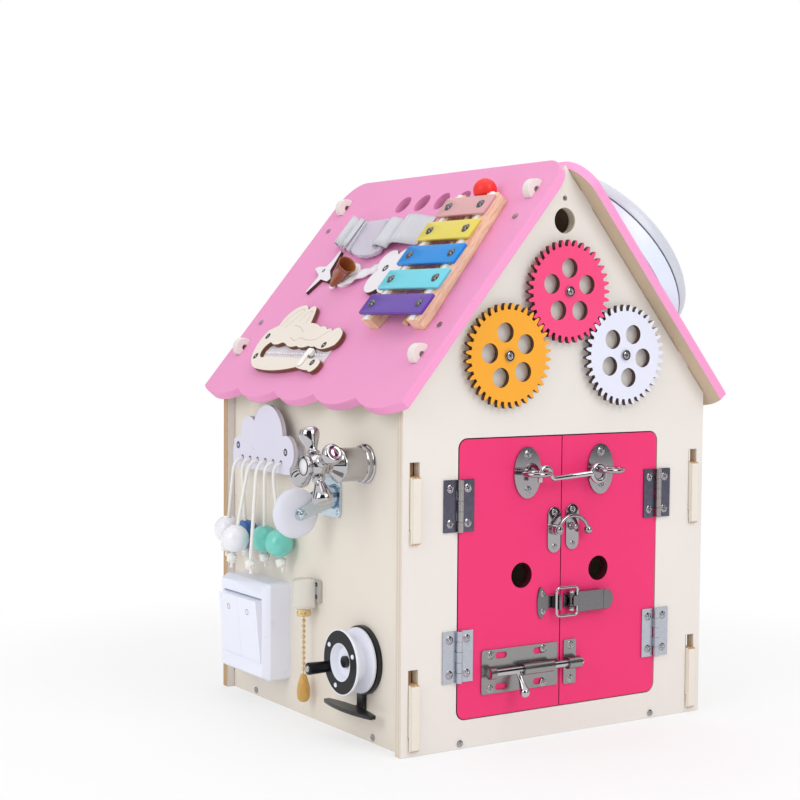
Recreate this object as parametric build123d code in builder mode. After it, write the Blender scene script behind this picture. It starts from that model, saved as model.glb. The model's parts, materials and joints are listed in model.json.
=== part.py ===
from build123d import *
import os
from math import acos, atan2, cos, degrees, radians, sin, tan

# A wooden activity house: a plywood shell with a pitched roof, two front doors, and toys and latches.
# The origin is the middle of the base, +Z is up, the doors face -Y and the left wall faces -X. Millimetres.

# --- House shell ----------------------------------------------------------------------------------------
ply = 8.0
fit_gap = 0.3
house_width = 300.0
house_depth = 292.0
eave_height = 269.0
apex_height = 450.0
wall_inset = 7.0
wall_clear = 3.0
half_turn = 180.0

half_width = house_width / 2
wall_height = eave_height - wall_clear
gable_face = house_depth / 2
gable_inner = gable_face - ply
wall_face = half_width - wall_inset
wall_middle = wall_face - ply / 2
roof_angle = degrees(atan2(apex_height - eave_height, half_width))

# Tenons of the side walls: the neck passes the gable's slot and the proud head hooks down in front of it.
tenon_height = 51.0
tenon_drop = 10.7
tenon_proud = 4.0
tenon_corner = 3.0
slot_low = 14.7
slot_below_eave = 98.0
slot_lows = (slot_low, eave_height - slot_below_eave)

# --- Roof -----------------------------------------------------------------------------------------------
roof_overhang = 15.5
roof_top = 2.0
eave_out = 4.74
scallop_count = 5
scallop_drop = 8.0
roof_corner = 26.0
ridge_hole_radius = 9.25
ridge_hole_row = 36.0
ridge_hole_pitch = 29.7
ridge_hole_count = 5
ridge_hole_middle = 17.3
roof_tab_width = 17.0
roof_tab_places = (33.5, 198.5)
tab_eye_radius = 2.5

roof_length = house_depth + 2 * roof_overhang
roof_lift = fit_gap + ply

# --- Front gable ----------------------------------------------------------------------------------------
opening_half = 99.5
opening_low = 22.0
opening_high = 238.5
opening_corner = 8.0
peep_height = 406.5
peep_radius = 10.0
peg_hole_height = 424.0
peg_hole_radius = 2.0

# --- Doors and hinges -----------------------------------------------------------------------------------
door_gap = 0.8
finger_hole = (38.5, 129.7)
finger_radius = 10.0
hinge_heights = (72.0, 187.5)
leaf_height = 40.0
leaf_width = 14.0
leaf_thickness = 1.2
knuckle_radius = 2.5
knuckle_count = 5
knuckle_gap = 0.2
pin_radius = 1.2
running_fit = 0.05
pin_x = opening_half - door_gap / 2
pin_y = -(gable_face + fit_gap + knuckle_radius)

# --- Planes that the toys are laid out on ---------------------------------------------------------------
# FRONT reads (x, z); LEFT reads (toward the doors, z); the roofs read (down the slope, along the ridge).
FRONT = Plane(origin=(0, -gable_face, 0), x_dir=(1, 0, 0), z_dir=(0, -1, 0))
BACK = Plane(origin=(0, gable_face, 0), x_dir=(-1, 0, 0), z_dir=(0, 1, 0))
LEFT = Plane(origin=(-wall_face, 0, 0), x_dir=(0, -1, 0), z_dir=(-1, 0, 0))
slope_cos = cos(radians(roof_angle))
slope_sin = sin(radians(roof_angle))
roof_eave = (half_width + eave_out) / slope_cos
ROOF_LEFT = Plane(
    origin=(-roof_lift * slope_sin, 0, apex_height + roof_lift * slope_cos),
    x_dir=(-slope_cos, 0, -slope_sin),
    z_dir=(-slope_sin, 0, slope_cos),
)
ROOF_RIGHT = Plane(
    origin=(roof_lift * slope_sin, 0, apex_height + roof_lift * slope_cos),
    x_dir=(slope_cos, 0, -slope_sin),
    z_dir=(slope_sin, 0, slope_cos),
)
os.makedirs("parts", exist_ok=True)
pieces = {}


def world(plane, u, v, off):
    """The point at (u, v) on a plane, raised by off along its normal."""
    return plane.from_local_coords((u, v, off))


def left_plan(u, off):
    """The (x, y) of a point on the left wall, u toward the doors and off away from the wall."""
    return (-(wall_face + off), -u)


# === Shell ==============================================================================================
def gable_panel(face):
    """A house-shaped panel with four tenon slots and two eyed tabs standing on each slope."""
    with BuildPart() as panel:
        with BuildSketch(face):
            with BuildLine():
                Polyline(
                    (-half_width, 0),
                    (half_width, 0),
                    (half_width, eave_height),
                    (0, apex_height),
                    (-half_width, eave_height),
                    close=True,
                )
            make_face()
            for side in (-1, 1):
                for place in roof_tab_places:
                    root = (side * place * slope_cos, apex_height - place * slope_sin)
                    with Locations(Location((*root, 0), (0, 0, -side * roof_angle))):
                        Rectangle(roof_tab_width, 2 * roof_lift)
                        with Locations((0, roof_lift)):
                            Circle(roof_tab_width / 2)
                            Circle(tab_eye_radius, mode=Mode.SUBTRACT)
                for low in slot_lows:
                    with Locations((side * wall_middle, low + tenon_height / 2)):
                        Rectangle(ply + 2 * fit_gap, tenon_height, mode=Mode.SUBTRACT)
        extrude(amount=-ply)
    return panel


back_panel = gable_panel(BACK)
pieces["back_panel"] = back_panel

with BuildPart() as front_panel:
    add(gable_panel(FRONT).part)
    with BuildSketch(FRONT):
        with Locations((0, (opening_low + opening_high) / 2)):
            RectangleRounded(2 * opening_half, opening_high - opening_low, opening_corner)
        with Locations((0, peep_height)):
            Circle(peep_radius)
        with Locations((0, peg_hole_height)):
            Circle(peg_hole_radius)
    extrude(amount=-ply, mode=Mode.SUBTRACT)
pieces["front_panel"] = front_panel


def side_wall(side):
    """A wall between the gables, with two hooked tenons at each end."""
    inner = side * (wall_face - ply)
    with BuildPart() as wall:
        with BuildSketch(Plane.YZ.offset(inner)):
            with Locations((0, wall_height / 2)):
                Rectangle(2 * (gable_inner - fit_gap), wall_height)
            for end in (-1, 1):
                for low in slot_lows:
                    neck_high = low + tenon_height - tenon_drop
                    neck_start = end * (gable_inner - fit_gap)
                    neck_end = end * (gable_face + fit_gap)
                    with Locations(((neck_start + neck_end) / 2, (low + fit_gap + neck_high) / 2)):
                        Rectangle(abs(neck_end - neck_start), neck_high - low - fit_gap)
                    head_middle = end * (gable_face + (fit_gap + tenon_proud) / 2)
                    with Locations((head_middle, neck_high - tenon_height / 2)):
                        Rectangle(tenon_proud - fit_gap, tenon_height)
        extrude(amount=side * ply)
        tips = wall.edges().filter_by(Axis.X).group_by(Axis.Y)
        fillet(tips[0] + tips[-1], tenon_corner)
    return wall


left_wall = side_wall(-1)
right_wall = side_wall(1)
pieces["left_wall"] = left_wall
pieces["right_wall"] = right_wall

with BuildPart() as floor_panel:
    with BuildSketch(Plane.XY):
        Rectangle(2 * (wall_face - ply - fit_gap), 2 * (gable_inner - fit_gap))
    extrude(amount=ply)
pieces["floor_panel"] = floor_panel


def roof_panel(face):
    """A pitched panel with round top corners, a scalloped eave and a slot for each gable tab."""
    pitch = roof_length / scallop_count
    with BuildPart() as roof:
        with BuildSketch(face) as outline:
            with BuildLine():
                Polyline(
                    (roof_eave, -roof_length / 2),
                    (roof_top, -roof_length / 2),
                    (roof_top, roof_length / 2),
                    (roof_eave, roof_length / 2),
                )
                for index in range(scallop_count):
                    start = roof_length / 2 - index * pitch
                    ThreePointArc(
                        (roof_eave, start),
                        (roof_eave + scallop_drop, start - pitch / 2),
                        (roof_eave, start - pitch),
                    )
            make_face()
            fillet(outline.vertices().group_by(Axis.X)[0], roof_corner)
            for end in (-1, 1):
                for place in roof_tab_places:
                    with Locations((place, end * (gable_face - ply / 2))):
                        Rectangle(roof_tab_width + 2 * fit_gap, ply + 2 * fit_gap, mode=Mode.SUBTRACT)
        extrude(amount=-ply)
    return roof


with BuildPart() as left_roof:
    add(roof_panel(ROOF_LEFT).part)
    with BuildSketch(ROOF_LEFT):
        with Locations((ridge_hole_row, ridge_hole_middle)):
            with GridLocations(0, ridge_hole_pitch, 1, ridge_hole_count):
                Circle(ridge_hole_radius)
    extrude(amount=-ply, mode=Mode.SUBTRACT)
pieces["left_roof"] = left_roof

right_roof = roof_panel(ROOF_RIGHT)
pieces["right_roof"] = right_roof

# Panel screws: low pan heads, one group.
screw_head_radius = 2.6
screw_head_height = 0.9
base_screw_x = 96.0
base_screw_height = 4.5
left_roof_screws = (61.3, 170.0)
right_roof_screws = (15.0, 222.0)

with BuildPart() as panel_screws:
    for plane in (FRONT, BACK, LEFT):
        with BuildSketch(plane):
            with Locations((-base_screw_x, base_screw_height), (base_screw_x, base_screw_height)):
                Circle(screw_head_radius)
        extrude(amount=screw_head_height)
    for plane, places in ((ROOF_LEFT, left_roof_screws), (ROOF_RIGHT, right_roof_screws)):
        with BuildSketch(plane):
            for place in places:
                with Locations((place, -(gable_face - ply / 2)), (place, gable_face - ply / 2)):
                    Circle(screw_head_radius)
        extrude(amount=screw_head_height)
pieces["panel_screws"] = panel_screws

# === Gears ==============================================================================================
gear_teeth = 36
gear_distance = 76.58
gear_outer = 40.5
gear_root = 35.4
pressure_angle = radians(20)
gear_backlash = 0.5
gear_thickness = 4.0
gear_spacer = 2.8
gear_play = 0.2
gear_hole_count = 5
gear_hole_radius = 7.65
gear_hole_ring = 18.3
axle_radius = 2.5
axle_head_radius = 4.2
axle_head_height = 1.4
spacer_radius = 9.0
gear_top = (0.0, 351.0)
gear_drop = 50.0
pink_hole_turn = 90.0
orange_hole_turn = 29.5
white_hole_turn = 64.5

gear_pitch = gear_distance / 2
gear_base = gear_pitch * cos(pressure_angle)
gear_spread = (gear_distance**2 - gear_drop**2) ** 0.5
gear_low = gear_top[1] - gear_drop
mesh_angle = degrees(atan2(-gear_drop, gear_spread))
tooth_turn = 2 * half_turn / gear_teeth


def polar(radius, angle):
    """A point at a radius and an angle in degrees."""
    return (radius * cos(radians(angle)), radius * sin(radians(angle)))


def half_tooth(radius):
    """Half of a tooth's angle, in degrees, at a radius on its involute."""
    def involute(at):
        pressure = acos(min(1.0, gear_base / at))
        return degrees(tan(pressure) - pressure)

    at_pitch = tooth_turn / 4 - degrees(gear_backlash / 2 / gear_pitch)
    return at_pitch + involute(gear_pitch) - involute(max(radius, gear_base))


def gear(centre, tooth_at, hole_at):
    """A toothed plate with a tooth's middle at tooth_at degrees and five round windows."""
    flank = (gear_root + gear_outer) / 2
    with BuildPart() as wheel:
        with BuildSketch(FRONT.offset(gear_spacer + gear_play)):
            with Locations(centre):
                with BuildSketch(mode=Mode.PRIVATE) as outline:
                    with BuildLine():
                        for index in range(gear_teeth):
                            at = tooth_at + index * tooth_turn
                            root, mid, tip = (half_tooth(r) for r in (gear_root, flank, gear_outer))
                            foot, rise = polar(gear_root, at - root), polar(flank, at - mid)
                            crest, edge = polar(gear_outer, at - tip), polar(gear_outer, at + tip)
                            fall, heel = polar(flank, at + mid), polar(gear_root, at + root)
                            ThreePointArc(foot, rise, crest)
                            Line(crest, edge)
                            ThreePointArc(edge, fall, heel)
                            Line(heel, polar(gear_root, at + tooth_turn - root))
                    make_face()
                add(outline.sketch)
                with PolarLocations(gear_hole_ring, gear_hole_count, hole_at):
                    Circle(gear_hole_radius, mode=Mode.SUBTRACT)
                Circle(axle_radius + running_fit, mode=Mode.SUBTRACT)
        extrude(amount=gear_thickness)
    return wheel


orange_centre = (-gear_spread, gear_low)
white_centre = (gear_spread, gear_low)
toward_orange = half_turn - mesh_angle
toward_white = 2 * half_turn + mesh_angle
pink_lag = (toward_white - toward_orange) % tooth_turn
orange_tooth = toward_orange - half_turn + tooth_turn / 2
white_tooth = toward_white - half_turn + tooth_turn / 2 + pink_lag
gear_pink = gear(gear_top, toward_orange, pink_hole_turn)
gear_orange = gear(orange_centre, orange_tooth, orange_hole_turn)
gear_white = gear(white_centre, white_tooth, white_hole_turn)
pieces["gear_pink"] = gear_pink
pieces["gear_orange"] = gear_orange
pieces["gear_white"] = gear_white

gear_front = gear_spacer + 2 * gear_play + gear_thickness
with BuildPart() as gear_axles:
    with BuildSketch(FRONT):
        with Locations(gear_top, orange_centre, white_centre):
            Circle(spacer_radius)
    extrude(amount=gear_spacer)
    with BuildSketch(FRONT):
        with Locations(gear_top, orange_centre, white_centre):
            Circle(axle_radius)
    extrude(amount=gear_front)
    with BuildSketch(FRONT.offset(gear_front)):
        with Locations(gear_top, orange_centre, white_centre):
            Circle(axle_head_radius)
    extrude(amount=axle_head_height)
pieces["gear_axles"] = gear_axles

# === Doors ==============================================================================================
def door(side):
    """A flush panel on one side of the seam, with a finger hole and its outer corners rounded."""
    width = opening_half - 1.5 * door_gap
    height = opening_high - opening_low - 2 * door_gap
    with BuildPart() as leaf:
        with BuildSketch(FRONT) as outline:
            with Locations((side * (door_gap / 2 + width / 2), (opening_low + opening_high) / 2)):
                Rectangle(width, height)
            outer = outline.vertices().group_by(Axis.X)[-1 if side > 0 else 0]
            fillet(outer, opening_corner - door_gap)
            with Locations((side * finger_hole[0], finger_hole[1])):
                Circle(finger_radius, mode=Mode.SUBTRACT)
        extrude(amount=-ply)
    return leaf


left_door = door(-1)
right_door = door(1)
pieces["left_door"] = left_door
pieces["right_door"] = right_door


def hinge_leaves(pin, side, first_knuckle, pinned):
    """One side's leaves of the hinges on a pin line, with every second knuckle and, if pinned, the pins."""
    knuckle = leaf_height / knuckle_count
    start = knuckle_radius + fit_gap
    with BuildPart() as leaves:
        for middle in hinge_heights:
            low = middle - leaf_height / 2
            with BuildSketch(FRONT):
                with Locations((pin + side * (start + leaf_width) / 2, middle)):
                    Rectangle(leaf_width - start, leaf_height)
                for index in range(first_knuckle, knuckle_count, 2):
                    with Locations((pin + side * start / 2, low + (index + 0.5) * knuckle)):
                        Rectangle(start, knuckle - knuckle_gap)
            extrude(amount=leaf_thickness)
            for index in range(first_knuckle, knuckle_count, 2):
                with BuildSketch(Plane.XY.offset(low + index * knuckle + knuckle_gap / 2)):
                    with Locations((pin, pin_y)):
                        Circle(knuckle_radius)
                extrude(amount=knuckle - knuckle_gap)
            with BuildSketch(Plane.XY.offset(low)):
                with Locations((pin, pin_y)):
                    Circle(pin_radius if pinned else pin_radius + running_fit)
            extrude(amount=leaf_height, mode=Mode.ADD if pinned else Mode.SUBTRACT)
    return leaves


frame_hinges_left = hinge_leaves(-pin_x, -1, 0, True)
frame_hinges_right = hinge_leaves(pin_x, 1, 0, True)
with BuildPart() as frame_hinges:
    add(frame_hinges_left.part)
    add(frame_hinges_right.part)
pieces["frame_hinges"] = frame_hinges
left_door_leaves = hinge_leaves(-pin_x, 1, 1, False)
right_door_leaves = hinge_leaves(pin_x, -1, 1, False)
pieces["left_door_leaves"] = left_door_leaves
pieces["right_door_leaves"] = right_door_leaves

# === Cabin hook =========================================================================================
eye_plate_size = (26.0, 40.4)
eye_plate_thickness = 1.5
left_eye = (-34.5, 210.0)
right_eye = (38.7, 210.0)
eye_ring_radius = 10.0
eye_wire = 2.0
eye_out = 13.0
eye_neck_radius = 3.0


def eye_plate(centre):
    """An oval plate with a level ring standing out of it."""
    with BuildPart() as plate:
        with BuildSketch(FRONT):
            with Locations(centre):
                Ellipse(eye_plate_size[0] / 2, eye_plate_size[1] / 2)
        extrude(amount=eye_plate_thickness)
        with BuildSketch(FRONT):
            with Locations(centre):
                Circle(eye_neck_radius)
        extrude(amount=eye_out - eye_ring_radius)
        with Locations(world(FRONT, *centre, eye_out)):
            Torus(eye_ring_radius, eye_wire)
    return plate


left_eye_plate = eye_plate(left_eye)
right_eye_plate = eye_plate(right_eye)
pieces["left_eye_plate"] = left_eye_plate
pieces["right_eye_plate"] = right_eye_plate

hook_out = 10.5
hook_wire = 2.0
hook_eye_radius = 6.5
hook_bend_radius = 5.5
hook_leg_inset = 5.0
hook_tip_height = 203.0
hook_shank_height = 205.0
hook_shank_fillet = 3.5

# The hook's eye hangs on the near side of the right ring, its bend over the near side of the left ring.
ring_reach = (eye_ring_radius**2 - (eye_out - hook_out) ** 2) ** 0.5
hook_pivot = (right_eye[0] - ring_reach, right_eye[1])
hook_eye = (hook_pivot[0], hook_pivot[1] + eye_wire + fit_gap + hook_wire - hook_eye_radius)
leg_x = left_eye[0] + hook_leg_inset
bend_height = left_eye[1] + eye_wire + fit_gap + hook_wire - hook_bend_radius
HOOK = FRONT.offset(hook_out)

with BuildPart() as cabin_hook:
    with BuildLine(HOOK) as hook_path:
        Line((leg_x, hook_tip_height), (leg_x, bend_height))
        ThreePointArc(
            (leg_x, bend_height),
            (leg_x + hook_bend_radius, bend_height + hook_bend_radius),
            (leg_x + 2 * hook_bend_radius, bend_height),
        )
        FilletPolyline(
            (leg_x + 2 * hook_bend_radius, bend_height),
            (leg_x + 2 * hook_bend_radius, hook_shank_height),
            (hook_eye[0] - hook_eye_radius, hook_eye[1]),
            radius=hook_shank_fillet,
        )
    with BuildSketch(Plane(origin=hook_path.wire() @ 0, z_dir=hook_path.wire() % 0)):
        Circle(hook_wire)
    sweep(path=hook_path.wire())
    with Locations(Plane(origin=world(FRONT, *hook_eye, hook_out), z_dir=(0, -1, 0))):
        Torus(hook_eye_radius, hook_wire)
pieces["cabin_hook"] = cabin_hook

# === Swing latch ========================================================================================
swing_plate = (12.7, 36.0)
swing_plate_middle = (-7.5, 163.5)
post_plate_middle = (10.3, 165.0)
swing_pivot = (-8.5, 164.0)
swing_post = (9.3, 165.7)
swing_crown = (5.0, 174.7)
swing_tip = (22.0, 162.5)
swing_knob_radius = 3.4
swing_wire = 1.6
swing_out = 7.0
swing_eye_radius = 4.0
swing_eye_depth = 3.4
swing_pin_radius = 1.5
swing_pin_head = 2.8
swing_head_height = 1.2
post_radius = 2.2
post_out = 8.0
plate_thickness = 1.2
swing_plate_corner = 3.0

with BuildPart() as swing_latch_plate:
    with BuildSketch(FRONT):
        with Locations(swing_plate_middle):
            RectangleRounded(*swing_plate, swing_plate_corner)
    extrude(amount=plate_thickness)
    with BuildSketch(FRONT):
        with Locations(swing_pivot):
            Circle(swing_eye_radius)
    extrude(amount=swing_out - swing_eye_depth / 2 - running_fit)
    with BuildSketch(FRONT):
        with Locations(swing_pivot):
            Circle(swing_pin_radius)
    extrude(amount=swing_out + swing_eye_depth / 2 + running_fit)
    with BuildSketch(FRONT.offset(swing_out + swing_eye_depth / 2 + running_fit)):
        with Locations(swing_pivot):
            Circle(swing_pin_head)
    extrude(amount=swing_head_height)
pieces["swing_latch_plate"] = swing_latch_plate

with BuildPart() as swing_latch_post:
    with BuildSketch(FRONT):
        with Locations(post_plate_middle):
            RectangleRounded(*swing_plate, swing_plate_corner)
    extrude(amount=plate_thickness)
    with BuildSketch(FRONT):
        with Locations(swing_post):
            Circle(post_radius)
    extrude(amount=post_out)
pieces["swing_latch_post"] = swing_latch_post

with BuildPart() as swing_latch_arm:
    with BuildLine(FRONT.offset(swing_out)) as arm_path:
        ThreePointArc(swing_pivot, swing_crown, swing_tip)
    with BuildSketch(Plane(origin=arm_path.wire() @ 0, z_dir=arm_path.wire() % 0)):
        Circle(swing_wire)
    sweep(path=arm_path.wire())
    with Locations(world(FRONT, *swing_tip, swing_out)):
        Sphere(swing_knob_radius)
    with BuildSketch(FRONT.offset(swing_out - swing_eye_depth / 2)):
        with Locations(swing_pivot):
            Circle(swing_eye_radius)
    extrude(amount=swing_eye_depth)
    with BuildSketch(FRONT.offset(swing_out - swing_eye_depth)):
        with Locations(swing_pivot):
            Circle(swing_pin_radius + running_fit)
    extrude(amount=2 * swing_eye_depth, mode=Mode.SUBTRACT)
pieces["swing_latch_arm"] = swing_latch_arm

# === Toggle latch =======================================================================================
toggle_height = 106.5
lip_x = -6.5
lip_thickness = 2.0
lip_length = 12.0
lip_out = 8.2
catch_tail_x = -23.0
catch_waist_x = -13.0
catch_end_x = -2.5
catch_tail_half = 13.0
catch_waist_half = 6.0
lever_pivot_x = 8.0
lever_pivot_out = 4.0
lever_grip_start = 34.0
lever_end = 48.0
lever_half = 4.0
lever_grip_half = 7.0
lever_sheet = 1.4
lever_top_out = 7.6
cheek_end = 17.0
cheek_radius = 2.4
cheek_inset = 1.2
bail_pivot_x = 13.0
bail_out = 5.6
bail_wire = 1.2
bail_half = 11.2
bail_corner = 3.0
ear_sheet = 1.2
ear_gap = 0.4
ear_radius = 3.0
toggle_base_end = 24.0
toggle_base_start = 3.0
toggle_pin_radius = 1.2
TOGGLE = Plane(origin=(0, -gable_face, toggle_height), x_dir=(1, 0, 0), z_dir=(0, 0, 1))

with BuildPart() as toggle_catch:
    with BuildSketch(FRONT):
        with BuildLine():
            Polyline(
                (catch_end_x, toggle_height + catch_waist_half),
                (catch_waist_x, toggle_height + catch_waist_half),
                (catch_tail_x, toggle_height + catch_tail_half),
                (catch_tail_x, toggle_height - catch_tail_half),
                (catch_waist_x, toggle_height - catch_waist_half),
                (catch_end_x, toggle_height - catch_waist_half),
                close=True,
            )
        make_face()
    extrude(amount=plate_thickness)
    with BuildSketch(FRONT):
        with Locations((lip_x + lip_thickness / 2, toggle_height)):
            Rectangle(lip_thickness, lip_length)
    extrude(amount=lip_out)
pieces["toggle_catch"] = toggle_catch

cheek_out = lever_half - cheek_inset
ear_inner = lever_half + ear_gap
with BuildPart() as toggle_base:
    with BuildSketch(FRONT):
        with Locations(((toggle_base_start + toggle_base_end) / 2, toggle_height)):
            Rectangle(toggle_base_end - toggle_base_start, 2 * (ear_inner + ear_sheet))
    extrude(amount=plate_thickness)
    for side in (-1, 1):
        with BuildSketch(TOGGLE.offset(side * ear_inner)):
            with Locations((lever_pivot_x, -lever_pivot_out)):
                Circle(ear_radius)
            with Locations((lever_pivot_x, -lever_pivot_out / 2)):
                Rectangle(2 * ear_radius, lever_pivot_out)
        extrude(amount=side * ear_sheet)
    with BuildSketch(TOGGLE.offset(-ear_inner)):
        with Locations((lever_pivot_x, -lever_pivot_out)):
            Circle(toggle_pin_radius)
    extrude(amount=2 * ear_inner)
pieces["toggle_base"] = toggle_base

with BuildPart() as toggle_lever:
    with BuildSketch(FRONT.offset(lever_top_out - lever_sheet)):
        with Locations(((lever_pivot_x + lever_grip_start) / 2, toggle_height)):
            Rectangle(lever_grip_start - lever_pivot_x, 2 * lever_half)
        with Locations(((lever_grip_start + lever_end - lever_grip_half) / 2, toggle_height)):
            Rectangle(lever_end - lever_grip_half - lever_grip_start, 2 * lever_grip_half)
        with Locations((lever_end - lever_grip_half, toggle_height)):
            Circle(lever_grip_half)
    extrude(amount=lever_sheet)
    for side in (-1, 1):
        with BuildSketch(TOGGLE.offset(side * cheek_out)):
            with Locations((lever_pivot_x, -lever_pivot_out)):
                Circle(cheek_radius)
            with BuildLine():
                Polyline(
                    (lever_pivot_x, -lever_top_out + lever_sheet / 2),
                    (cheek_end, -lever_top_out + lever_sheet / 2),
                    (bail_pivot_x, -bail_out + 2 * bail_wire),
                    (lever_pivot_x, -lever_pivot_out + 2 * toggle_pin_radius),
                    close=True,
                )
            make_face()
        extrude(amount=side * cheek_inset)
    for at, out, radius in (
        (lever_pivot_x, lever_pivot_out, toggle_pin_radius),
        (bail_pivot_x, bail_out, bail_wire),
    ):
        with BuildSketch(TOGGLE.offset(-lever_half)):
            with Locations((at, -out)):
                Circle(radius + running_fit)
        extrude(amount=2 * lever_half, mode=Mode.SUBTRACT)
pieces["toggle_lever"] = toggle_lever

bail_end_x = lip_x - fit_gap - bail_wire
BAIL = FRONT.offset(bail_out)
with BuildPart() as toggle_bail:
    with BuildLine(BAIL) as bail_path:
        FilletPolyline(
            (bail_end_x, toggle_height + bail_half),
            (bail_end_x, toggle_height - bail_half),
            (bail_pivot_x, toggle_height - bail_half),
            (bail_pivot_x, toggle_height + bail_half),
            radius=bail_corner,
            close=True,
        )
    with BuildSketch(Plane(origin=bail_path.wire() @ 0, z_dir=bail_path.wire() % 0)):
        Circle(bail_wire)
    sweep(path=bail_path.wire())
pieces["toggle_bail"] = toggle_bail

# === Barrel bolt ========================================================================================
bolt_height = 57.0
bolt_plate_x = -39.9
bolt_plate_size = (73.8, 34.4)
bolt_rod_radius = 3.0
bolt_out = 5.6
bolt_tube_radius = 4.8
bolt_bore_gap = 0.1
bolt_barrel = (-41.0, -11.4)
bolt_strap = (-73.0, -68.0)
bolt_keeper_tube = (3.5, 15.9)
bolt_keeper_size = (12.4, 35.9)
bolt_rod_span = (-73.0, 19.0)
bolt_knob_x = -45.0
bolt_knob_drop = 16.0
bolt_knob_out = 14.5
bolt_stem_radius = 2.2
bolt_knob_radius = 4.0
bolt_slot_width = 5.0
bolt_slot_length = 11.0
bolt_corner = 2.0


def bolt_guides(middle_x, size, tubes):
    """A plate with slots pressed through it and bored tubes along the bolt's axis."""
    with BuildPart() as guides:
        with BuildSketch(FRONT):
            with Locations((middle_x, bolt_height)):
                RectangleRounded(*size, bolt_corner)
                if size[0] > 4 * bolt_slot_length:
                    with GridLocations(size[0] / 2, size[1] - 2 * bolt_slot_width, 2, 2):
                        SlotOverall(bolt_slot_length, bolt_slot_width, mode=Mode.SUBTRACT)
        extrude(amount=plate_thickness)
        for radius, mode in ((bolt_tube_radius, Mode.ADD), (bolt_rod_radius + bolt_bore_gap, Mode.SUBTRACT)):
            for low, high in tubes:
                with BuildSketch(Plane.YZ.offset(low)):
                    with Locations((-(gable_face + bolt_out), bolt_height)):
                        Circle(radius)
                extrude(amount=high - low, mode=mode)
    return guides


bolt_plate = bolt_guides(bolt_plate_x, bolt_plate_size, (bolt_barrel, bolt_strap))
pieces["bolt_plate"] = bolt_plate
keeper_middle = sum(bolt_keeper_tube) / 2
bolt_keeper = bolt_guides(keeper_middle, bolt_keeper_size, (bolt_keeper_tube,))
pieces["bolt_keeper"] = bolt_keeper

knob_root = world(FRONT, bolt_knob_x, bolt_height, bolt_out)
knob_end = world(FRONT, bolt_knob_x, bolt_height - bolt_knob_drop, bolt_knob_out)
KNOB = Plane(origin=knob_root, z_dir=knob_end - knob_root)
knob_length = (knob_end - knob_root).length
with BuildPart() as bolt_rod:
    with BuildSketch(Plane.YZ.offset(bolt_rod_span[0])):
        with Locations((-(gable_face + bolt_out), bolt_height)):
            Circle(bolt_rod_radius)
    extrude(amount=bolt_rod_span[1] - bolt_rod_span[0])
    fillet(bolt_rod.edges().filter_by(GeomType.CIRCLE).group_by(Axis.X)[-1], bolt_rod_radius / 3)
    with BuildSketch(KNOB):
        Circle(bolt_stem_radius)
    extrude(amount=knob_length)
    with BuildSketch(KNOB.offset(knob_length / 2)):
        Circle(bolt_stem_radius)
    with BuildSketch(KNOB.offset(knob_length)):
        Circle(bolt_knob_radius)
    loft()
    with Locations(knob_end):
        Sphere(bolt_knob_radius)
pieces["bolt_rod"] = bolt_rod

# === Cloud with beads on cords ==========================================================================
cloud_out = 10.0
cloud_thickness = 4.0
cloud_lobes = ((-51.5, 229.5, 26.4), (-84.5, 230.6, 14.2), (-100.0, 213.6, 13.6), (-20.4, 217.8, 14.2))
cloud_low = 200.0
cloud_span = (-113.6, -13.0)
cloud_shoulder = 217.0
cloud_spacer_radius = 5.0
cloud_screws = ((-104.3, 219.0), (-20.2, 218.3))
cord_radius = 1.5
cord_hole_height = 208.0
cord_hole_us = (-96.1, -82.3, -68.8, -55.0, -41.3, -27.8)
cord_step_out = 8.0
cord_bend_share = 0.45
knot_radius = 4.2
bead_radius = 11.8
bead_bore_gap = 0.3

# Where each bead hangs: the cord's hole, then the bead's middle as (toward the doors, off the wall, height).
bead_hangs = (
    (0, (-116.5, 17.8, 144.5)),
    (2, (-75.0, 31.8, 142.0)),
    (1, (-92.0, 13.0, 143.5)),
    (4, (-57.5, 13.2, 142.5)),
    (5, (-31.5, 13.2, 142.0)),
)
loose_cord = (3, (-48.0, 30.5, 140.0))

with BuildPart() as cloud_plate:
    with BuildSketch(LEFT.offset(cloud_out)):
        with Locations(((cloud_span[0] + cloud_span[1]) / 2, (cloud_low + cloud_shoulder) / 2)):
            Rectangle(cloud_span[1] - cloud_span[0], cloud_shoulder - cloud_low)
        for u, height, radius in cloud_lobes:
            with Locations((u, height)):
                Circle(radius)
        with Locations(*((u, cord_hole_height) for u in cord_hole_us)):
            Circle(cord_radius, mode=Mode.SUBTRACT)
    extrude(amount=cloud_thickness)
    with BuildSketch(LEFT):
        with Locations(*cloud_screws):
            Circle(cloud_spacer_radius)
    extrude(amount=cloud_out)
pieces["cloud_plate"] = cloud_plate


def cord_run(index, bead):
    """A cord's start at its hole, its turn in front of the plate, its bead's middle and the way down."""
    u = cord_hole_us[index]
    face = cloud_out + cloud_thickness
    start = world(LEFT, u, cord_hole_height, face)
    turn = world(LEFT, u, cord_hole_height, face + cord_step_out)
    middle = world(LEFT, bead[0], bead[2], bead[1])
    return start, turn, middle, (middle - turn).normalized()


def cord_tube(index, hang):
    """A cord from its hole down through the bead's middle to a round knot just under the bead."""
    start, turn, middle, down = cord_run(index, hang)
    knot = middle + down * (bead_radius + knot_radius)
    bend = (turn - start).get_angle(middle - turn)
    radius = cord_bend_share * cord_step_out / tan(radians(bend / 2))
    print(f"cord {index} bend radius {radius:.2f}")
    with BuildPart() as cord:
        with BuildLine() as path:
            FilletPolyline(start, turn, knot, radius=radius)
        with BuildSketch(Plane(origin=start, z_dir=turn - start)):
            Circle(cord_radius)
        sweep(path=path.wire())
        with Locations(knot):
            Sphere(knot_radius)
    return cord


with BuildPart() as bead_cords:
    for index, hang in (*bead_hangs, loose_cord):
        add(cord_tube(index, hang).part)
pieces["bead_cords"] = bead_cords

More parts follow.
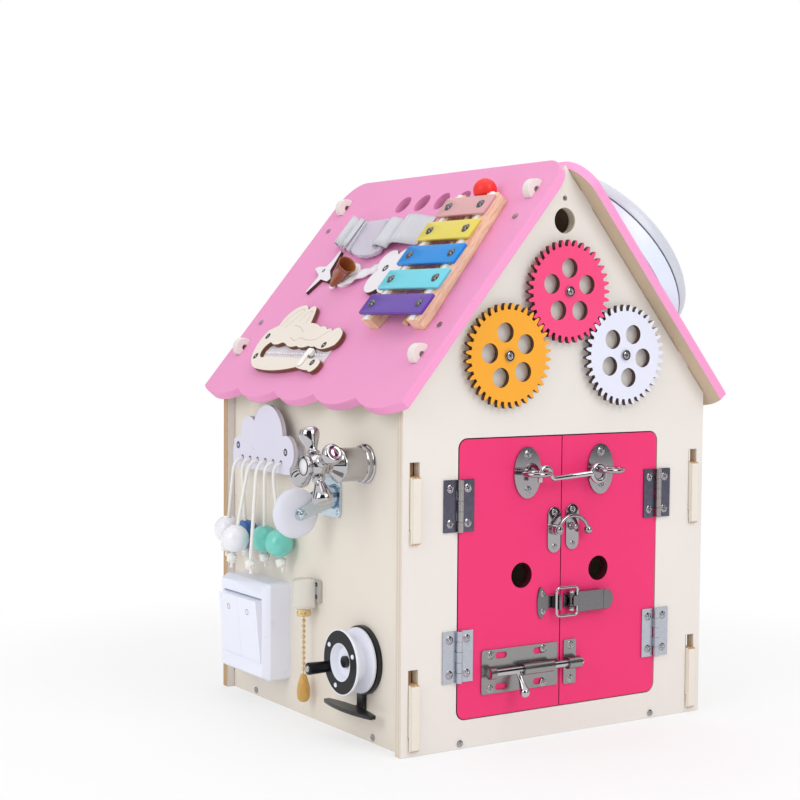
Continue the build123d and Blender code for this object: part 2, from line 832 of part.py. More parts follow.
for number, (index, hang) in enumerate(bead_hangs):
    start, turn, middle, down = cord_run(index, hang)
    with BuildPart() as bead:
        with Locations(Plane(origin=middle, z_dir=down)):
            Sphere(bead_radius)
            Cylinder(cord_radius + bead_bore_gap, 2 * bead_radius, mode=Mode.SUBTRACT)
    pieces[f"bead_{number + 1}"] = bead
    up = -down
    print(f"bead {number + 1} axis {up.X:.4f} {up.Y:.4f} {up.Z:.4f}")

# === Tap ================================================================================================
tap_centre = (83.0, 216.5)
tap_flange_radius = 15.6
tap_flange_depth = 2.5
tap_body_radius = 13.2
tap_body_depth = 27.0
tap_neck_radius = 6.5
tap_neck_start = 33.0
tap_neck_end = 38.0
tap_spindle_radius = 3.5
tap_spindle_end = 46.0
hub_start = 38.4
hub_radius = 9.0
hub_end = 51.0
tap_arms_out = 44.5
tap_arm_angle = 114.1
tap_arm_root = 3.4
tap_arm_swell = 4.6
tap_arm_swell_at = 18.0
tap_arm_tip = 6.6
tap_arm_tip_at = 24.4
tap_button_radius = 8.25
tap_button_lip = 7.0
tap_button_end = 55.5
tap_button_rim = 1.0

TAP = Plane(origin=world(LEFT, *tap_centre, 0), x_dir=(0, -1, 0), z_dir=(-1, 0, 0))
TAP_SECTION = Plane(origin=TAP.origin, x_dir=(0, -1, 0), z_dir=(0, 0, -1))

with BuildPart() as tap_body:
    with BuildSketch(TAP_SECTION):
        with BuildLine():
            Polyline(
                (0, 0),
                (tap_flange_radius, 0),
                (tap_flange_radius, tap_flange_depth / 2),
                (tap_body_radius, tap_flange_depth),
                (tap_body_radius, tap_body_depth),
                (tap_neck_radius, tap_neck_start),
                (tap_neck_radius, tap_neck_end),
                (tap_spindle_radius, tap_neck_end),
                (tap_spindle_radius, tap_spindle_end),
                (0, tap_spindle_end),
                close=True,
            )
        make_face()
    revolve(axis=Axis(TAP.origin, TAP.z_dir))
pieces["tap_body"] = tap_body

with BuildPart() as tap_handle:
    with BuildSketch(TAP.offset(hub_start)):
        Circle(hub_radius)
    extrude(amount=hub_end - hub_start)
    hub_middle = TAP.from_local_coords((0, 0, tap_arms_out))
    for quarter in range(4):
        turn = radians(tap_arm_angle + 90 * quarter)
        ARM = Plane(origin=hub_middle, x_dir=(-1, 0, 0), z_dir=(0, -cos(turn), sin(turn)))
        with BuildSketch(ARM):
            Circle(tap_arm_root)
        with BuildSketch(ARM.offset(tap_arm_swell_at)):
            Circle(tap_arm_swell)
        loft()
        with Locations(ARM.offset(tap_arm_tip_at)):
            Sphere(tap_arm_tip)
    with BuildSketch(TAP.offset(hub_start)):
        Circle(tap_spindle_radius + running_fit)
    extrude(amount=tap_spindle_end + fit_gap - hub_start, mode=Mode.SUBTRACT)
    with BuildSketch(TAP.offset(hub_end)):
        Circle(tap_button_lip)
    with BuildSketch(TAP.offset(tap_button_end - tap_button_rim)):
        Circle(tap_button_radius)
    loft()
    with BuildSketch(TAP.offset(tap_button_end - tap_button_rim)):
        Circle(tap_button_radius)
    extrude(amount=tap_button_rim)
pieces["tap_handle"] = tap_handle

# === Caster =============================================================================================
caster_swivel = (31.4, 186.0)
caster_plate_size = 32.3
caster_plate_depth = 2.0
caster_boss_radius = 8.0
caster_boss_end = 5.0
caster_pin_radius = 3.0
caster_bridge = (5.3, 7.5)
caster_bridge_radius = 10.0
fork_inner = 7.6
fork_sheet = 1.5
fork_root_half = 8.0
fork_end_radius = 5.0
wheel_out = 33.0
wheel_height = 174.5
wheel_radius = 20.0
wheel_half = 7.25
wheel_round = 3.0
wheel_hub_radius = 9.0
wheel_dish = 1.6
wheel_axle_radius = 2.4
axle_cap_radius = 4.0
axle_cap = 1.5

CASTER = Plane(origin=world(LEFT, *caster_swivel, 0), x_dir=(0, -1, 0), z_dir=(-1, 0, 0))
# The fork's sides are drawn looking along the axle: (off the wall, height).
FORK = Plane(origin=world(LEFT, caster_swivel[0], 0, 0), x_dir=(-1, 0, 0), z_dir=(0, 1, 0))

with BuildPart() as caster_plate:
    with BuildSketch(CASTER):
        RectangleRounded(caster_plate_size, caster_plate_size, fork_end_radius)
    extrude(amount=caster_plate_depth)
    with BuildSketch(CASTER):
        Circle(caster_boss_radius)
    extrude(amount=caster_boss_end)
    with BuildSketch(CASTER):
        Circle(caster_pin_radius)
    extrude(amount=caster_bridge[1] + running_fit)
    with BuildSketch(CASTER.offset(caster_bridge[1] + running_fit)):
        Circle(caster_pin_radius + axle_cap)
    extrude(amount=axle_cap)
pieces["caster_plate"] = caster_plate

with BuildPart() as caster_fork:
    with BuildSketch(CASTER.offset(caster_bridge[0])):
        Circle(caster_bridge_radius)
        Rectangle(2 * (fork_inner + fork_sheet), 2 * fork_root_half)
        Circle(caster_pin_radius + running_fit, mode=Mode.SUBTRACT)
    extrude(amount=caster_bridge[1] - caster_bridge[0])
    for side in (-1, 1):
        with BuildSketch(FORK.offset(side * fork_inner)):
            with BuildLine():
                Polyline(
                    (caster_bridge[0], caster_swivel[1] + fork_root_half),
                    (wheel_out, wheel_height + fork_end_radius),
                    (wheel_out, wheel_height - fork_end_radius),
                    (caster_bridge[0], caster_swivel[1] - fork_root_half),
                    close=True,
                )
            make_face()
            with Locations((wheel_out, wheel_height)):
                Circle(fork_end_radius)
        extrude(amount=side * fork_sheet)
        with BuildSketch(FORK.offset(side * (fork_inner + fork_sheet))):
            with Locations((wheel_out, wheel_height)):
                Circle(axle_cap_radius)
        extrude(amount=side * axle_cap)
    with BuildSketch(FORK.offset(-fork_inner)):
        with Locations((wheel_out, wheel_height)):
            Circle(wheel_axle_radius)
    extrude(amount=2 * fork_inner)
pieces["caster_fork"] = caster_fork

with BuildPart() as caster_wheel:
    with BuildSketch(FORK.offset(-wheel_half)):
        with Locations((wheel_out, wheel_height)):
            Circle(wheel_radius)
    extrude(amount=2 * wheel_half)
    fillet(caster_wheel.edges().filter_by(GeomType.CIRCLE), wheel_round)
    for side in (-1, 1):
        with BuildSketch(FORK.offset(side * wheel_half)):
            with Locations((wheel_out, wheel_height)):
                Circle(wheel_radius - 2 * wheel_round)
                Circle(wheel_hub_radius, mode=Mode.SUBTRACT)
        extrude(amount=-side * wheel_dish, mode=Mode.SUBTRACT)
    with BuildSketch(FORK.offset(-wheel_half)):
        with Locations((wheel_out, wheel_height)):
            Circle(wheel_axle_radius + running_fit)
    extrude(amount=2 * wheel_half, mode=Mode.SUBTRACT)
pieces["caster_wheel"] = caster_wheel

# === Rocker switch ======================================================================================
switch_middle = (-76.25, 66.0)
switch_size = (81.5, 82.0)
switch_depth = 25.0
switch_chamfer = 6.0
switch_chamfer_depth = 3.6
switch_corner = 4.0
rocker_window = (68.0, 54.0)
rocker_middle = (-74.5, 67.5)
rocker_pocket = 14.0
rocker_pivot_out = 20.0
rocker_face_out = 28.3
rocker_back_out = 17.5
rocker_side_gap = 0.3
rocker_end_gap = 1.1
rocker_tilt = 5.3
rocker_pin_radius = 1.5

PIVOT = Plane(origin=world(LEFT, rocker_middle[0], 0, 0), x_dir=(-1, 0, 0), z_dir=(0, 1, 0))
with BuildPart() as switch_box:
    with BuildSketch(LEFT):
        with Locations(switch_middle):
            RectangleRounded(*switch_size, switch_corner)
    extrude(amount=switch_depth)
    chamfer(switch_box.faces().sort_by(Axis.X)[0].edges(), switch_chamfer, switch_chamfer_depth)
    with BuildSketch(LEFT.offset(rocker_pocket)):
        with Locations(rocker_middle):
            Rectangle(*rocker_window)
    extrude(amount=switch_depth - rocker_pocket, mode=Mode.SUBTRACT)
    with BuildSketch(PIVOT.offset(-rocker_window[0] / 2)):
        with Locations((rocker_pivot_out, rocker_middle[1])):
            Circle(rocker_pin_radius)
    extrude(amount=rocker_window[0])
pieces["switch_box"] = switch_box


def rocker(side):
    """One half of the pair: a slab tilted about the pivot pin, its top standing out."""
    width = rocker_window[0] / 2 - 1.5 * rocker_side_gap
    start = rocker_side_gap / 2 if side > 0 else -rocker_side_gap / 2 - width
    with BuildPart() as slab:
        with BuildSketch(PIVOT.offset(start)):
            with Locations(Location((rocker_pivot_out, rocker_middle[1], 0), (0, 0, -rocker_tilt))):
                with Locations(((rocker_face_out + rocker_back_out) / 2 - rocker_pivot_out, 0)):
                    Rectangle(rocker_face_out - rocker_back_out, rocker_window[1] - 2 * rocker_end_gap)
                Circle(rocker_pin_radius + running_fit, mode=Mode.SUBTRACT)
        extrude(amount=width)
    return slab


pieces["rocker_rear"] = rocker(1)
pieces["rocker_front"] = rocker(-1)

# === Pull-chain switch ==================================================================================
pull_u = 4.5
pull_out = 10.0
pull_ear_u = (-4.0, 17.6)
pull_ear_z = (97.6, 116.2)
pull_ear_depth = 3.0
pull_ear_corner = 2.0
pull_body_radius = 9.6
pull_body_z = (93.4, 117.0)
collar_radius = 5.4
collar_low = 86.8
collar_bore = 2.2
chain_low = 38.2
chain_high = 91.0
chain_pitch = 4.4
chain_ball = 1.6
chain_link = 0.6
drop_top_radius = 2.4
drop_radius = 5.5
drop_length = 23.0
drop_swell = 15.5
drop_flare = 0.3

with BuildPart() as pull_switch:
    with BuildSketch(Plane.XY.offset(pull_body_z[0])):
        with Locations(left_plan(pull_u, pull_out)):
            Circle(pull_body_radius)
    extrude(amount=pull_body_z[1] - pull_body_z[0])
    fillet(pull_switch.edges().filter_by(GeomType.CIRCLE).sort_by(Axis.Z)[-1], pull_body_radius / 4)
    with BuildSketch(LEFT):
        with Locations((sum(pull_ear_u) / 2, sum(pull_ear_z) / 2)):
            RectangleRounded(pull_ear_u[1] - pull_ear_u[0], pull_ear_z[1] - pull_ear_z[0], pull_ear_corner)
    extrude(amount=pull_ear_depth)
    with BuildSketch(Plane.XY.offset(collar_low)):
        with Locations(left_plan(pull_u, pull_out)):
            Circle(collar_radius)
    extrude(amount=pull_body_z[0] - collar_low)
    with BuildSketch(Plane.XY.offset(collar_low)):
        with Locations(left_plan(pull_u, pull_out)):
            Circle(collar_bore)
    extrude(amount=chain_high + fit_gap + chain_ball - collar_low, mode=Mode.SUBTRACT)
pieces["pull_switch"] = pull_switch

CHAIN = Plane(origin=world(LEFT, pull_u, 0, pull_out), x_dir=(1, 0, 0), z_dir=(0, -1, 0))
chain_count = int((chain_high - chain_low) / chain_pitch)
with BuildPart() as pull_chain:
    with BuildSketch(Plane.XY.offset(chain_low)):
        with Locations((CHAIN.origin.X, CHAIN.origin.Y)):
            Circle(chain_link)
    extrude(amount=chain_high - chain_low)
    for index in range(chain_count + 1):
        with Locations((CHAIN.origin.X, CHAIN.origin.Y, chain_high - index * chain_pitch)):
            Sphere(chain_ball)
    with BuildSketch(CHAIN):
        with BuildLine():
            Spline(
                (drop_top_radius, chain_low),
                (drop_radius, chain_low - drop_swell),
                (0, chain_low - drop_length),
                tangents=((drop_flare, -1), (-1, 0)),
            )
            Polyline((0, chain_low - drop_length), (0, chain_low), (drop_top_radius, chain_low))
        make_face()
    revolve(axis=Axis(CHAIN.origin, (0, 0, 1)))
pieces["pull_chain"] = pull_chain

# === Spinning reel ======================================================================================
reel_centre = (82.6, 63.2)
reel_frame_radius = 27.0
reel_frame_depth = 4.0
reel_rim = 2.5
reel_stem = (78.0, 86.5)
reel_foot_height = 27.0
reel_foot_length = 70.0
reel_foot_half = 7.0
reel_foot_tip = 2.5
reel_foot_sheet = 3.0
reel_foot_out = 12.5
reel_foot_middle = 81.0
spool_start = 4.6
spool_flange = 2.0
spool_end = 22.0
spool_radius = 25.6
spool_core = 17.0
spool_well_radius = 14.5
spool_well_depth = 6.0
reel_shaft_radius = 3.5
reel_shaft_end = 19.0
reel_cap_radius = 4.6
crank_at = (-19.2, -6.6)
crank_radius = 4.9
crank_neck = 4.4
crank_length = 18.0

REEL = Plane(origin=world(LEFT, *reel_centre, 0), x_dir=(0, -1, 0), z_dir=(-1, 0, 0))

with BuildPart() as reel_frame:
    with BuildSketch(REEL):
        Circle(reel_frame_radius)
    extrude(amount=reel_frame_depth)
    with BuildSketch(LEFT):
        with Locations((sum(reel_stem) / 2, (reel_centre[1] + reel_foot_height) / 2)):
            Rectangle(reel_stem[1] - reel_stem[0], reel_centre[1] - reel_foot_height + reel_foot_sheet)
    extrude(amount=reel_frame_depth)
    foot_base = reel_foot_height - reel_foot_sheet
    with BuildSketch(Plane(origin=(*left_plan(reel_foot_middle, reel_foot_out), foot_base))):
        with BuildLine():
            ThreePointArc(
                (-reel_foot_tip, -reel_foot_length / 2),
                (-reel_foot_half, 0),
                (-reel_foot_tip, reel_foot_length / 2),
            )
            Line((-reel_foot_tip, reel_foot_length / 2), (reel_foot_tip, reel_foot_length / 2))
            ThreePointArc(
                (reel_foot_tip, reel_foot_length / 2),
                (reel_foot_half, 0),
                (reel_foot_tip, -reel_foot_length / 2),
            )
            Line((reel_foot_tip, -reel_foot_length / 2), (-reel_foot_tip, -reel_foot_length / 2))
        make_face()
    extrude(amount=reel_foot_sheet)
    with BuildSketch(Plane.XY.offset(foot_base)):
        with Locations(left_plan(sum(reel_stem) / 2, reel_foot_out / 2)):
            Rectangle(reel_foot_out, reel_stem[1] - reel_stem[0])
    extrude(amount=reel_foot_sheet)
    with BuildSketch(REEL):
        Circle(reel_shaft_radius)
    extrude(amount=reel_shaft_end)
    with BuildSketch(REEL.offset(spool_end - spool_well_depth + running_fit)):
        Circle(reel_cap_radius)
    extrude(amount=reel_shaft_end - spool_end + spool_well_depth)
pieces["reel_frame"] = reel_frame

REEL_SECTION = Plane(origin=REEL.origin, x_dir=(0, -1, 0), z_dir=(0, 0, -1))
with BuildPart() as reel_spool:
    with BuildSketch(REEL_SECTION):
        with BuildLine():
            Polyline(
                (reel_shaft_radius + running_fit, spool_start),
                (spool_radius, spool_start),
                (spool_radius, spool_start + spool_flange),
                (spool_core, spool_start + 2 * spool_flange),
                (spool_core, spool_end - 2 * spool_flange),
                (spool_radius, spool_end - spool_flange),
                (spool_radius, spool_end),
                (spool_well_radius, spool_end),
                (spool_well_radius - spool_flange, spool_end - spool_well_depth),
                (reel_shaft_radius + running_fit, spool_end - spool_well_depth),
                close=True,
            )
        make_face()
    revolve(axis=Axis(REEL.origin, REEL.z_dir))

with BuildPart() as reel_crank:
    with BuildSketch(REEL.offset(spool_end)):
        with Locations(crank_at):
            Circle(crank_neck)
    with BuildSketch(REEL.offset(spool_end + crank_length)):
        with Locations(crank_at):
            Circle(crank_radius)
    loft()
    fillet(reel_crank.edges().filter_by(GeomType.CIRCLE).group_by(Axis.X)[0], crank_radius / 4)
with BuildPart() as reel_turning:
    add(reel_spool.part)
    add(reel_crank.part)
pieces["reel_spool"] = reel_turning

# === Xylophone ==========================================================================================
# The left roof reads (down the slope, toward the doors).
rail_height = 11.5
rail_width = 14.5
rail_span = (44.0, 175.0)
rail_front = (109.7, 120.8)
rail_rear = (65.8, 54.8)
felt_thickness = 1.0
felt_width = 5.0
bar_thickness = 2.5
bar_width = 19.5
bar_pitch = 25.4
bar_first = 59.5
bar_middle = 88.4
bar_lengths = (66.0, 72.0, 80.0, 85.0, 89.0)
bar_corner = 1.0
bar_screw_inset = 11.0
bar_screw_radius = 3.0
bar_screw_height = 1.6

with BuildPart() as xylophone_rails:
    for top, bottom in (rail_front, rail_rear):
        with BuildSketch(ROOF_LEFT):
            with BuildLine():
                Polyline(
                    (rail_span[0], top - rail_width / 2),
                    (rail_span[1], bottom - rail_width / 2),
                    (rail_span[1], bottom + rail_width / 2),
                    (rail_span[0], top + rail_width / 2),
                    close=True,
                )
            make_face()
        extrude(amount=rail_height)
    for top, bottom in (rail_front, rail_rear):
        with BuildSketch(ROOF_LEFT.offset(rail_height)):
            with BuildLine():
                Polyline(
                    (rail_span[0], top - felt_width / 2),
                    (rail_span[1], bottom - felt_width / 2),
                    (rail_span[1], bottom + felt_width / 2),
                    (rail_span[0], top + felt_width / 2),
                    close=True,
                )
            make_face()
        extrude(amount=felt_thickness)
pieces["xylophone_rails"] = xylophone_rails

bar_bottom = rail_height + felt_thickness
with BuildPart() as xylophone_bars:
    for index, length in enumerate(bar_lengths):
        place = bar_first + index * bar_pitch
        with BuildSketch(ROOF_LEFT.offset(bar_bottom)):
            with Locations((place, bar_middle)):
                RectangleRounded(bar_width, length, bar_corner)
        extrude(amount=bar_thickness)
        with BuildSketch(ROOF_LEFT.offset(bar_bottom + bar_thickness)):
            with Locations((place, bar_middle)):
                with GridLocations(0, length - 2 * bar_screw_inset, 1, 2):
                    Circle(bar_screw_radius)
        extrude(amount=bar_screw_height)
pieces["xylophone_bars"] = xylophone_bars

mallet_ball_radius = 9.6
mallet_ball = (39.0, 92.8, 9.9)
mallet_end = (172.0, 99.5, 2.9)
mallet_stick_radius = 2.5

ball_point = world(ROOF_LEFT, *mallet_ball)
stick_point = world(ROOF_LEFT, *mallet_end)
with BuildPart() as mallet:
    with BuildSketch(Plane(origin=stick_point, z_dir=ball_point - stick_point)):
        Circle(mallet_stick_radius)
    extrude(amount=(ball_point - stick_point).length)
    with Locations(ball_point):
        Sphere(mallet_ball_radius)
pieces["mallet"] = mallet
mallet_axis = (ball_point - stick_point).normalized()
print(f"mallet axis {mallet_axis.X:.4f} {mallet_axis.Y:.4f} {mallet_axis.Z:.4f}")

# === Strap and buckle ===================================================================================
strap_width = 30.0
strap_middle = 66.0
strap_thickness = 1.4
strap_out = 0.3
strap_rear = (-118.0, -75.3)
strap_front = (-21.7, 30.0)
buckle_span = (-75.0, -22.0)
buckle_body_end = -38.0
buckle_width = 38.0
buckle_low = 0.4
buckle_thickness = 9.0
buckle_waist = 30.0
buckle_slot = 3.2
buckle_slot_inset = 3.0
buckle_window = (9.0, 18.0)
buckle_corner = 4.0
buckle_prong_gap = 0.4
buckle_round = 2.0
buckle_skin = 2.0
buckle_slot_spare = 1.0
plug_step = 1.0
prong_inset = 5.0

BUCKLE = Plane(origin=world(ROOF_LEFT, strap_middle, 0, 0), x_dir=ROOF_LEFT.x_dir, z_dir=ROOF_LEFT.z_dir)

with BuildPart() as strap:
    for low, high in (strap_rear, strap_front):
        with BuildSketch(BUCKLE.offset(strap_out)):
            with Locations((0, (low + high) / 2)):
                Rectangle(strap_width, high - low)
        extrude(amount=strap_thickness)
pieces["strap"] = strap

buckle_middle_out = (2 * buckle_low + buckle_thickness) / 2
with BuildPart() as buckle_socket:
    with BuildSketch(BUCKLE.offset(buckle_low)):
        with Locations((0, (buckle_span[0] + buckle_body_end) / 2)):
            RectangleRounded(buckle_width, buckle_body_end - buckle_span[0], buckle_corner)
    extrude(amount=buckle_thickness)
    top_face = buckle_socket.faces().filter_by(BUCKLE).sort_by(Axis(BUCKLE.origin, BUCKLE.z_dir))[-1]
    fillet(top_face.edges(), buckle_round)
    with BuildSketch(BUCKLE):
        with Locations((0, buckle_span[0] + buckle_slot_inset + buckle_slot / 2)):
            Rectangle(strap_width + buckle_slot_spare, buckle_slot)
        with Locations((0, buckle_body_end - buckle_window[0])):
            with GridLocations(buckle_width, 0, 2, 1):
                Ellipse(buckle_window[0] / 2, buckle_window[0])
    extrude(amount=2 * buckle_thickness, mode=Mode.SUBTRACT)
    with BuildSketch(BUCKLE.offset(buckle_low + buckle_skin)):
        with Locations((0, buckle_body_end - buckle_window[1] / 2)):
            Rectangle(buckle_waist - 2 * buckle_skin, buckle_window[1])
    extrude(amount=buckle_thickness - 2 * buckle_skin, mode=Mode.SUBTRACT)

with BuildPart() as buckle_plug:
    with BuildSketch(BUCKLE.offset(buckle_low)):
        with Locations((0, (buckle_body_end + buckle_prong_gap + buckle_span[1]) / 2)):
            plug_length = buckle_span[1] - buckle_body_end - buckle_prong_gap
            RectangleRounded(buckle_width - 2 * buckle_skin, plug_length, buckle_corner)
    extrude(amount=buckle_thickness - plug_step)
    with BuildSketch(BUCKLE):
        with Locations((0, buckle_span[1] - buckle_slot_inset - buckle_slot / 2)):
            Rectangle(strap_width + buckle_slot_spare, buckle_slot)
    extrude(amount=2 * buckle_thickness, mode=Mode.SUBTRACT)
    with BuildSketch(BUCKLE.offset(buckle_low + buckle_skin + buckle_prong_gap)):
        with Locations((0, buckle_body_end - buckle_window[1] / 2 + buckle_corner)):
            with GridLocations(buckle_waist - 2 * prong_inset, 0, 2, 1):
                Rectangle(buckle_slot, buckle_window[1] - buckle_prong_gap)
    extrude(amount=buckle_thickness - 2 * buckle_skin - 2 * buckle_prong_gap)
with BuildPart() as buckle:
    add(buckle_socket.part)
    add(buckle_plug.part)
pieces["buckle"] = buckle

# === Small plates on the left roof ======================================================================
small_plate = 4.0
small_cloud_lobes = (
    (105.0, 8.0, 11.5),
    (126.0, 12.0, 14.0),
    (104.0, 28.0, 11.5),
    (124.0, 34.0, 17.0),
    (113.0, 20.0, 14.0),
)
plane_body = ((110.8, -108.9), (86.0, -80.0))
plane_body_half = 4.5
plane_wing_tips = ((139.6, -92.4), (84.0, -103.0))
plane_wing_root = (108.0, -98.0)
plane_wing_half = 6.5
plane_tail = ((95.0, -74.0), (82.0, -88.0))
plane_tail_root = (89.5, -83.5)
plane_thickness = 3.0

with BuildPart() as small_cloud:
    with BuildSketch(ROOF_LEFT):
        for s, t, radius in small_cloud_lobes:
            with Locations((s, t)):
                Circle(radius)
    extrude(amount=small_plate)

nose, stern = (Vector(*point) for point in plane_body)
plane_middle = tuple((nose + stern) * 0.5)[:2]
plane_length = (stern - nose).length
plane_heading = degrees(atan2((stern - nose).Y, (stern - nose).X))
with BuildPart() as toy_plane:
    with BuildSketch(ROOF_LEFT):
        with Locations(Location((*plane_middle, 0), (0, 0, plane_heading))):
            SlotOverall(plane_length, 2 * plane_body_half)
        with BuildLine():
            Polyline(
                plane_wing_tips[0],
                (plane_wing_root[0], plane_wing_root[1] - plane_wing_half),
                plane_wing_tips[1],
                (plane_wing_root[0], plane_wing_root[1] + plane_wing_half),
                close=True,
            )
        make_face()
        with BuildLine():
            Polyline(plane_tail[0], plane_body[1], plane_tail[1], plane_tail_root, close=True)
        make_face()
    extrude(amount=plane_thickness)
with BuildPart() as roof_cutouts:
    add(small_cloud.part)
    add(toy_plane.part)
pieces["roof_cutouts"] = roof_cutouts

# A hollow cone lying open end up on a short foot, and the ribbon that ties it.
cone_foot = (127.0, -61.0, 6.0)
cone_mouth = (110.0, -44.0, 17.0)
cone_tip_radius = 2.5
cone_mouth_radius = 9.0
cone_wall = 1.2
cone_seat_radius = 11.0
cone_seat_height = 2.5
cone_seat = (112.0, -52.0)

cone_start = world(ROOF_LEFT, *cone_foot)
cone_stop = world(ROOF_LEFT, *cone_mouth)
CONE = Plane(origin=cone_start, z_dir=cone_stop - cone_start)
cone_length = (cone_stop - cone_start).length
with BuildPart() as cone_cup:
    with BuildSketch(CONE):
        Circle(cone_tip_radius)
    with BuildSketch(CONE.offset(cone_length)):
        Circle(cone_mouth_radius)
    loft()
    with BuildSketch(CONE.offset(2 * cone_wall)):
        Circle(cone_tip_radius - cone_wall)
    with BuildSketch(CONE.offset(cone_length + cone_wall)):
        Circle(cone_mouth_radius - cone_wall / 2)
    loft(mode=Mode.SUBTRACT)

with BuildPart() as cone_base:
    with BuildSketch(ROOF_LEFT):
        with Locations(cone_seat):
            Circle(cone_seat_radius)
    extrude(amount=cone_seat_height)
    with BuildSketch(ROOF_LEFT):
        with Locations(cone_foot[:2]):
            Circle(cone_tip_radius + cone_wall)
    extrude(amount=cone_foot[2] - cone_tip_radius - fit_gap)

ribbon_points = ((117.0, -36.0), (128.0, -24.0), (116.0, -12.0), (112.0, -7.5))
ribbon_thickness = 0.8
ribbon_width = 9.0
with BuildPart() as cone_ribbon:
    add(cone_base.part)
    with BuildSketch(ROOF_LEFT.offset(fit_gap)):
        with BuildLine() as ribbon_line:
            Spline(*ribbon_points)
        trace(ribbon_line.wires(), ribbon_width)
    extrude(amount=ribbon_thickness)
with BuildPart() as ribbon_cone:
    add(cone_cup.part)
    add(cone_ribbon.part)
pieces["ribbon_cone"] = ribbon_cone

# === Animal plate with a zip mouth ======================================================================
animal_out = 1.0
animal_thickness = 4.0
# The outline as arcs, each (a point on the way, its end), from the cheek round the head to the chin.
animal_cheek = (218.5, -95.0)
animal_head = (((205.0, -106.0), (182.0, -105.0)), ((179.5, -99.0), (176.5, -93.5)))
animal_ears = (
    ((162.5, -90.0), (155.0, -78.0)),
    ((154.0, -73.0), (159.0, -62.5)),
    ((155.5, -58.5), (158.5, -49.5)),
    ((166.5, -45.0), (173.5, -42.0)),
)
animal_back = (
    ((174.5, -31.5), (177.5, -21.5)),
    ((177.0, -15.5), (180.0, -7.5)),
    ((179.0, -4.0), (181.5, 2.0)),
    ((178.5, 6.5), (180.0, 15.0)),
    ((188.5, 23.0), (196.0, 21.5)),
)
animal_lip = (
    ((200.0, 12.0), (198.5, -8.0)),
    ((199.0, -13.0), (198.0, -19.0)),
    ((200.2, -28.0), (198.5, -38.5)),
    ((199.8, -47.5), (197.5, -57.5)),
    ((196.0, -62.0), (195.5, -66.5)),
    ((198.0, -76.0), (195.5, -86.0)),
    ((202.0, -91.5), (210.5, -78.0)),
)
animal_chin_start = (211.0, 6.5)
animal_chin = (
    ((211.5, 14.0), (214.0, 18.0)),
    ((221.0, 17.5), (223.0, 7.0)),
    ((222.5, -3.5), (220.5, -15.0)),
    ((224.0, -34.0), (224.5, -77.0)),
    ((222.5, -87.5), animal_cheek),
)
zip_mouth = (204.2, -91.5)
zip_tape_span = (-94.0, 14.5)
zip_tape_half = 9.0
zip_tape_thickness = 0.8
zip_teeth_half = 1.6
zip_teeth_thickness = 1.0
zip_teeth_inset = 2.0
slider_at = -10.0
slider_length = 9.0
slider_half = 3.4
slider_thickness = 3.0
slider_pull = (6.0, 12.0, 1.0)
slider_corner = 2.0


def arcs(start, steps):
    """Draws arcs one after another from a start point, each by a point on its way and its end."""
    for way, end in steps:
        ThreePointArc(start, way, end)
        start = end
    return start


with BuildPart() as animal_plate:
    with BuildSketch(ROOF_LEFT.offset(animal_out)):
        with BuildLine():
            lip_end = arcs(animal_cheek, (*animal_head, *animal_ears, *animal_back, *animal_lip))
            Line(lip_end, animal_chin_start)
            arcs(animal_chin_start, animal_chin)
        make_face()
    extrude(amount=animal_thickness)
pieces["animal_plate"] = animal_plate

tape_middle = (zip_tape_span[0] + zip_tape_span[1]) / 2
with BuildPart() as zip_tapes:
    with BuildSketch(ROOF_LEFT):
        with Locations((zip_mouth[0], tape_middle)):
            Rectangle(2 * zip_tape_half, zip_tape_span[1] - zip_tape_span[0])
    extrude(amount=animal_out)
    with BuildSketch(ROOF_LEFT.offset(animal_out)):
        with Locations((zip_mouth[0], (zip_mouth[1] + zip_tape_span[1]) / 2)):
            Rectangle(2 * zip_teeth_half, zip_tape_span[1] - zip_mouth[1] - 2 * zip_teeth_inset)
    extrude(amount=zip_teeth_thickness)
pieces["zip_tapes"] = zip_tapes

slider_low = animal_out + zip_teeth_thickness + fit_gap
with BuildPart() as zip_slider:
    with BuildSketch(ROOF_LEFT.offset(slider_low)):
        with Locations((zip_mouth[0], slider_at)):
            RectangleRounded(2 * slider_half, slider_length, slider_corner)
    extrude(amount=slider_thickness)
    with BuildSketch(ROOF_LEFT.offset(slider_low + slider_thickness)):
        with Locations((zip_mouth[0] + slider_pull[1] / 2, slider_at)):
            RectangleRounded(slider_pull[1] + slider_pull[0], slider_pull[0], slider_corner)
    extrude(amount=slider_pull[2])
pieces["zip_slider"] = zip_slider

# === Dome light on the right roof =======================================================================
# The right roof reads (down the slope, toward the back).
light_at = (114.5, -47.5)
light_radius = 112.0
light_base = 16.5
light_base_round = 1.5
light_groove = 1.0
light_neck_radius = 109.0
light_lens_radius = 111.5
light_rim = 6.5
light_crown = 4.5
light_round = 4.0

LIGHT = Plane(origin=world(ROOF_RIGHT, *light_at, 0), x_dir=ROOF_RIGHT.x_dir, z_dir=ROOF_RIGHT.z_dir)
with BuildPart() as light_base_ring:
    with BuildSketch(LIGHT):
        Circle(light_radius)
    extrude(amount=light_base)
    light_edges = light_base_ring.edges().filter_by(GeomType.CIRCLE)
    fillet(light_edges.sort_by(Axis(LIGHT.origin, LIGHT.z_dir))[-1], light_base_round)
    with BuildSketch(LIGHT.offset(light_base)):
        Circle(light_neck_radius)
    extrude(amount=light_groove)

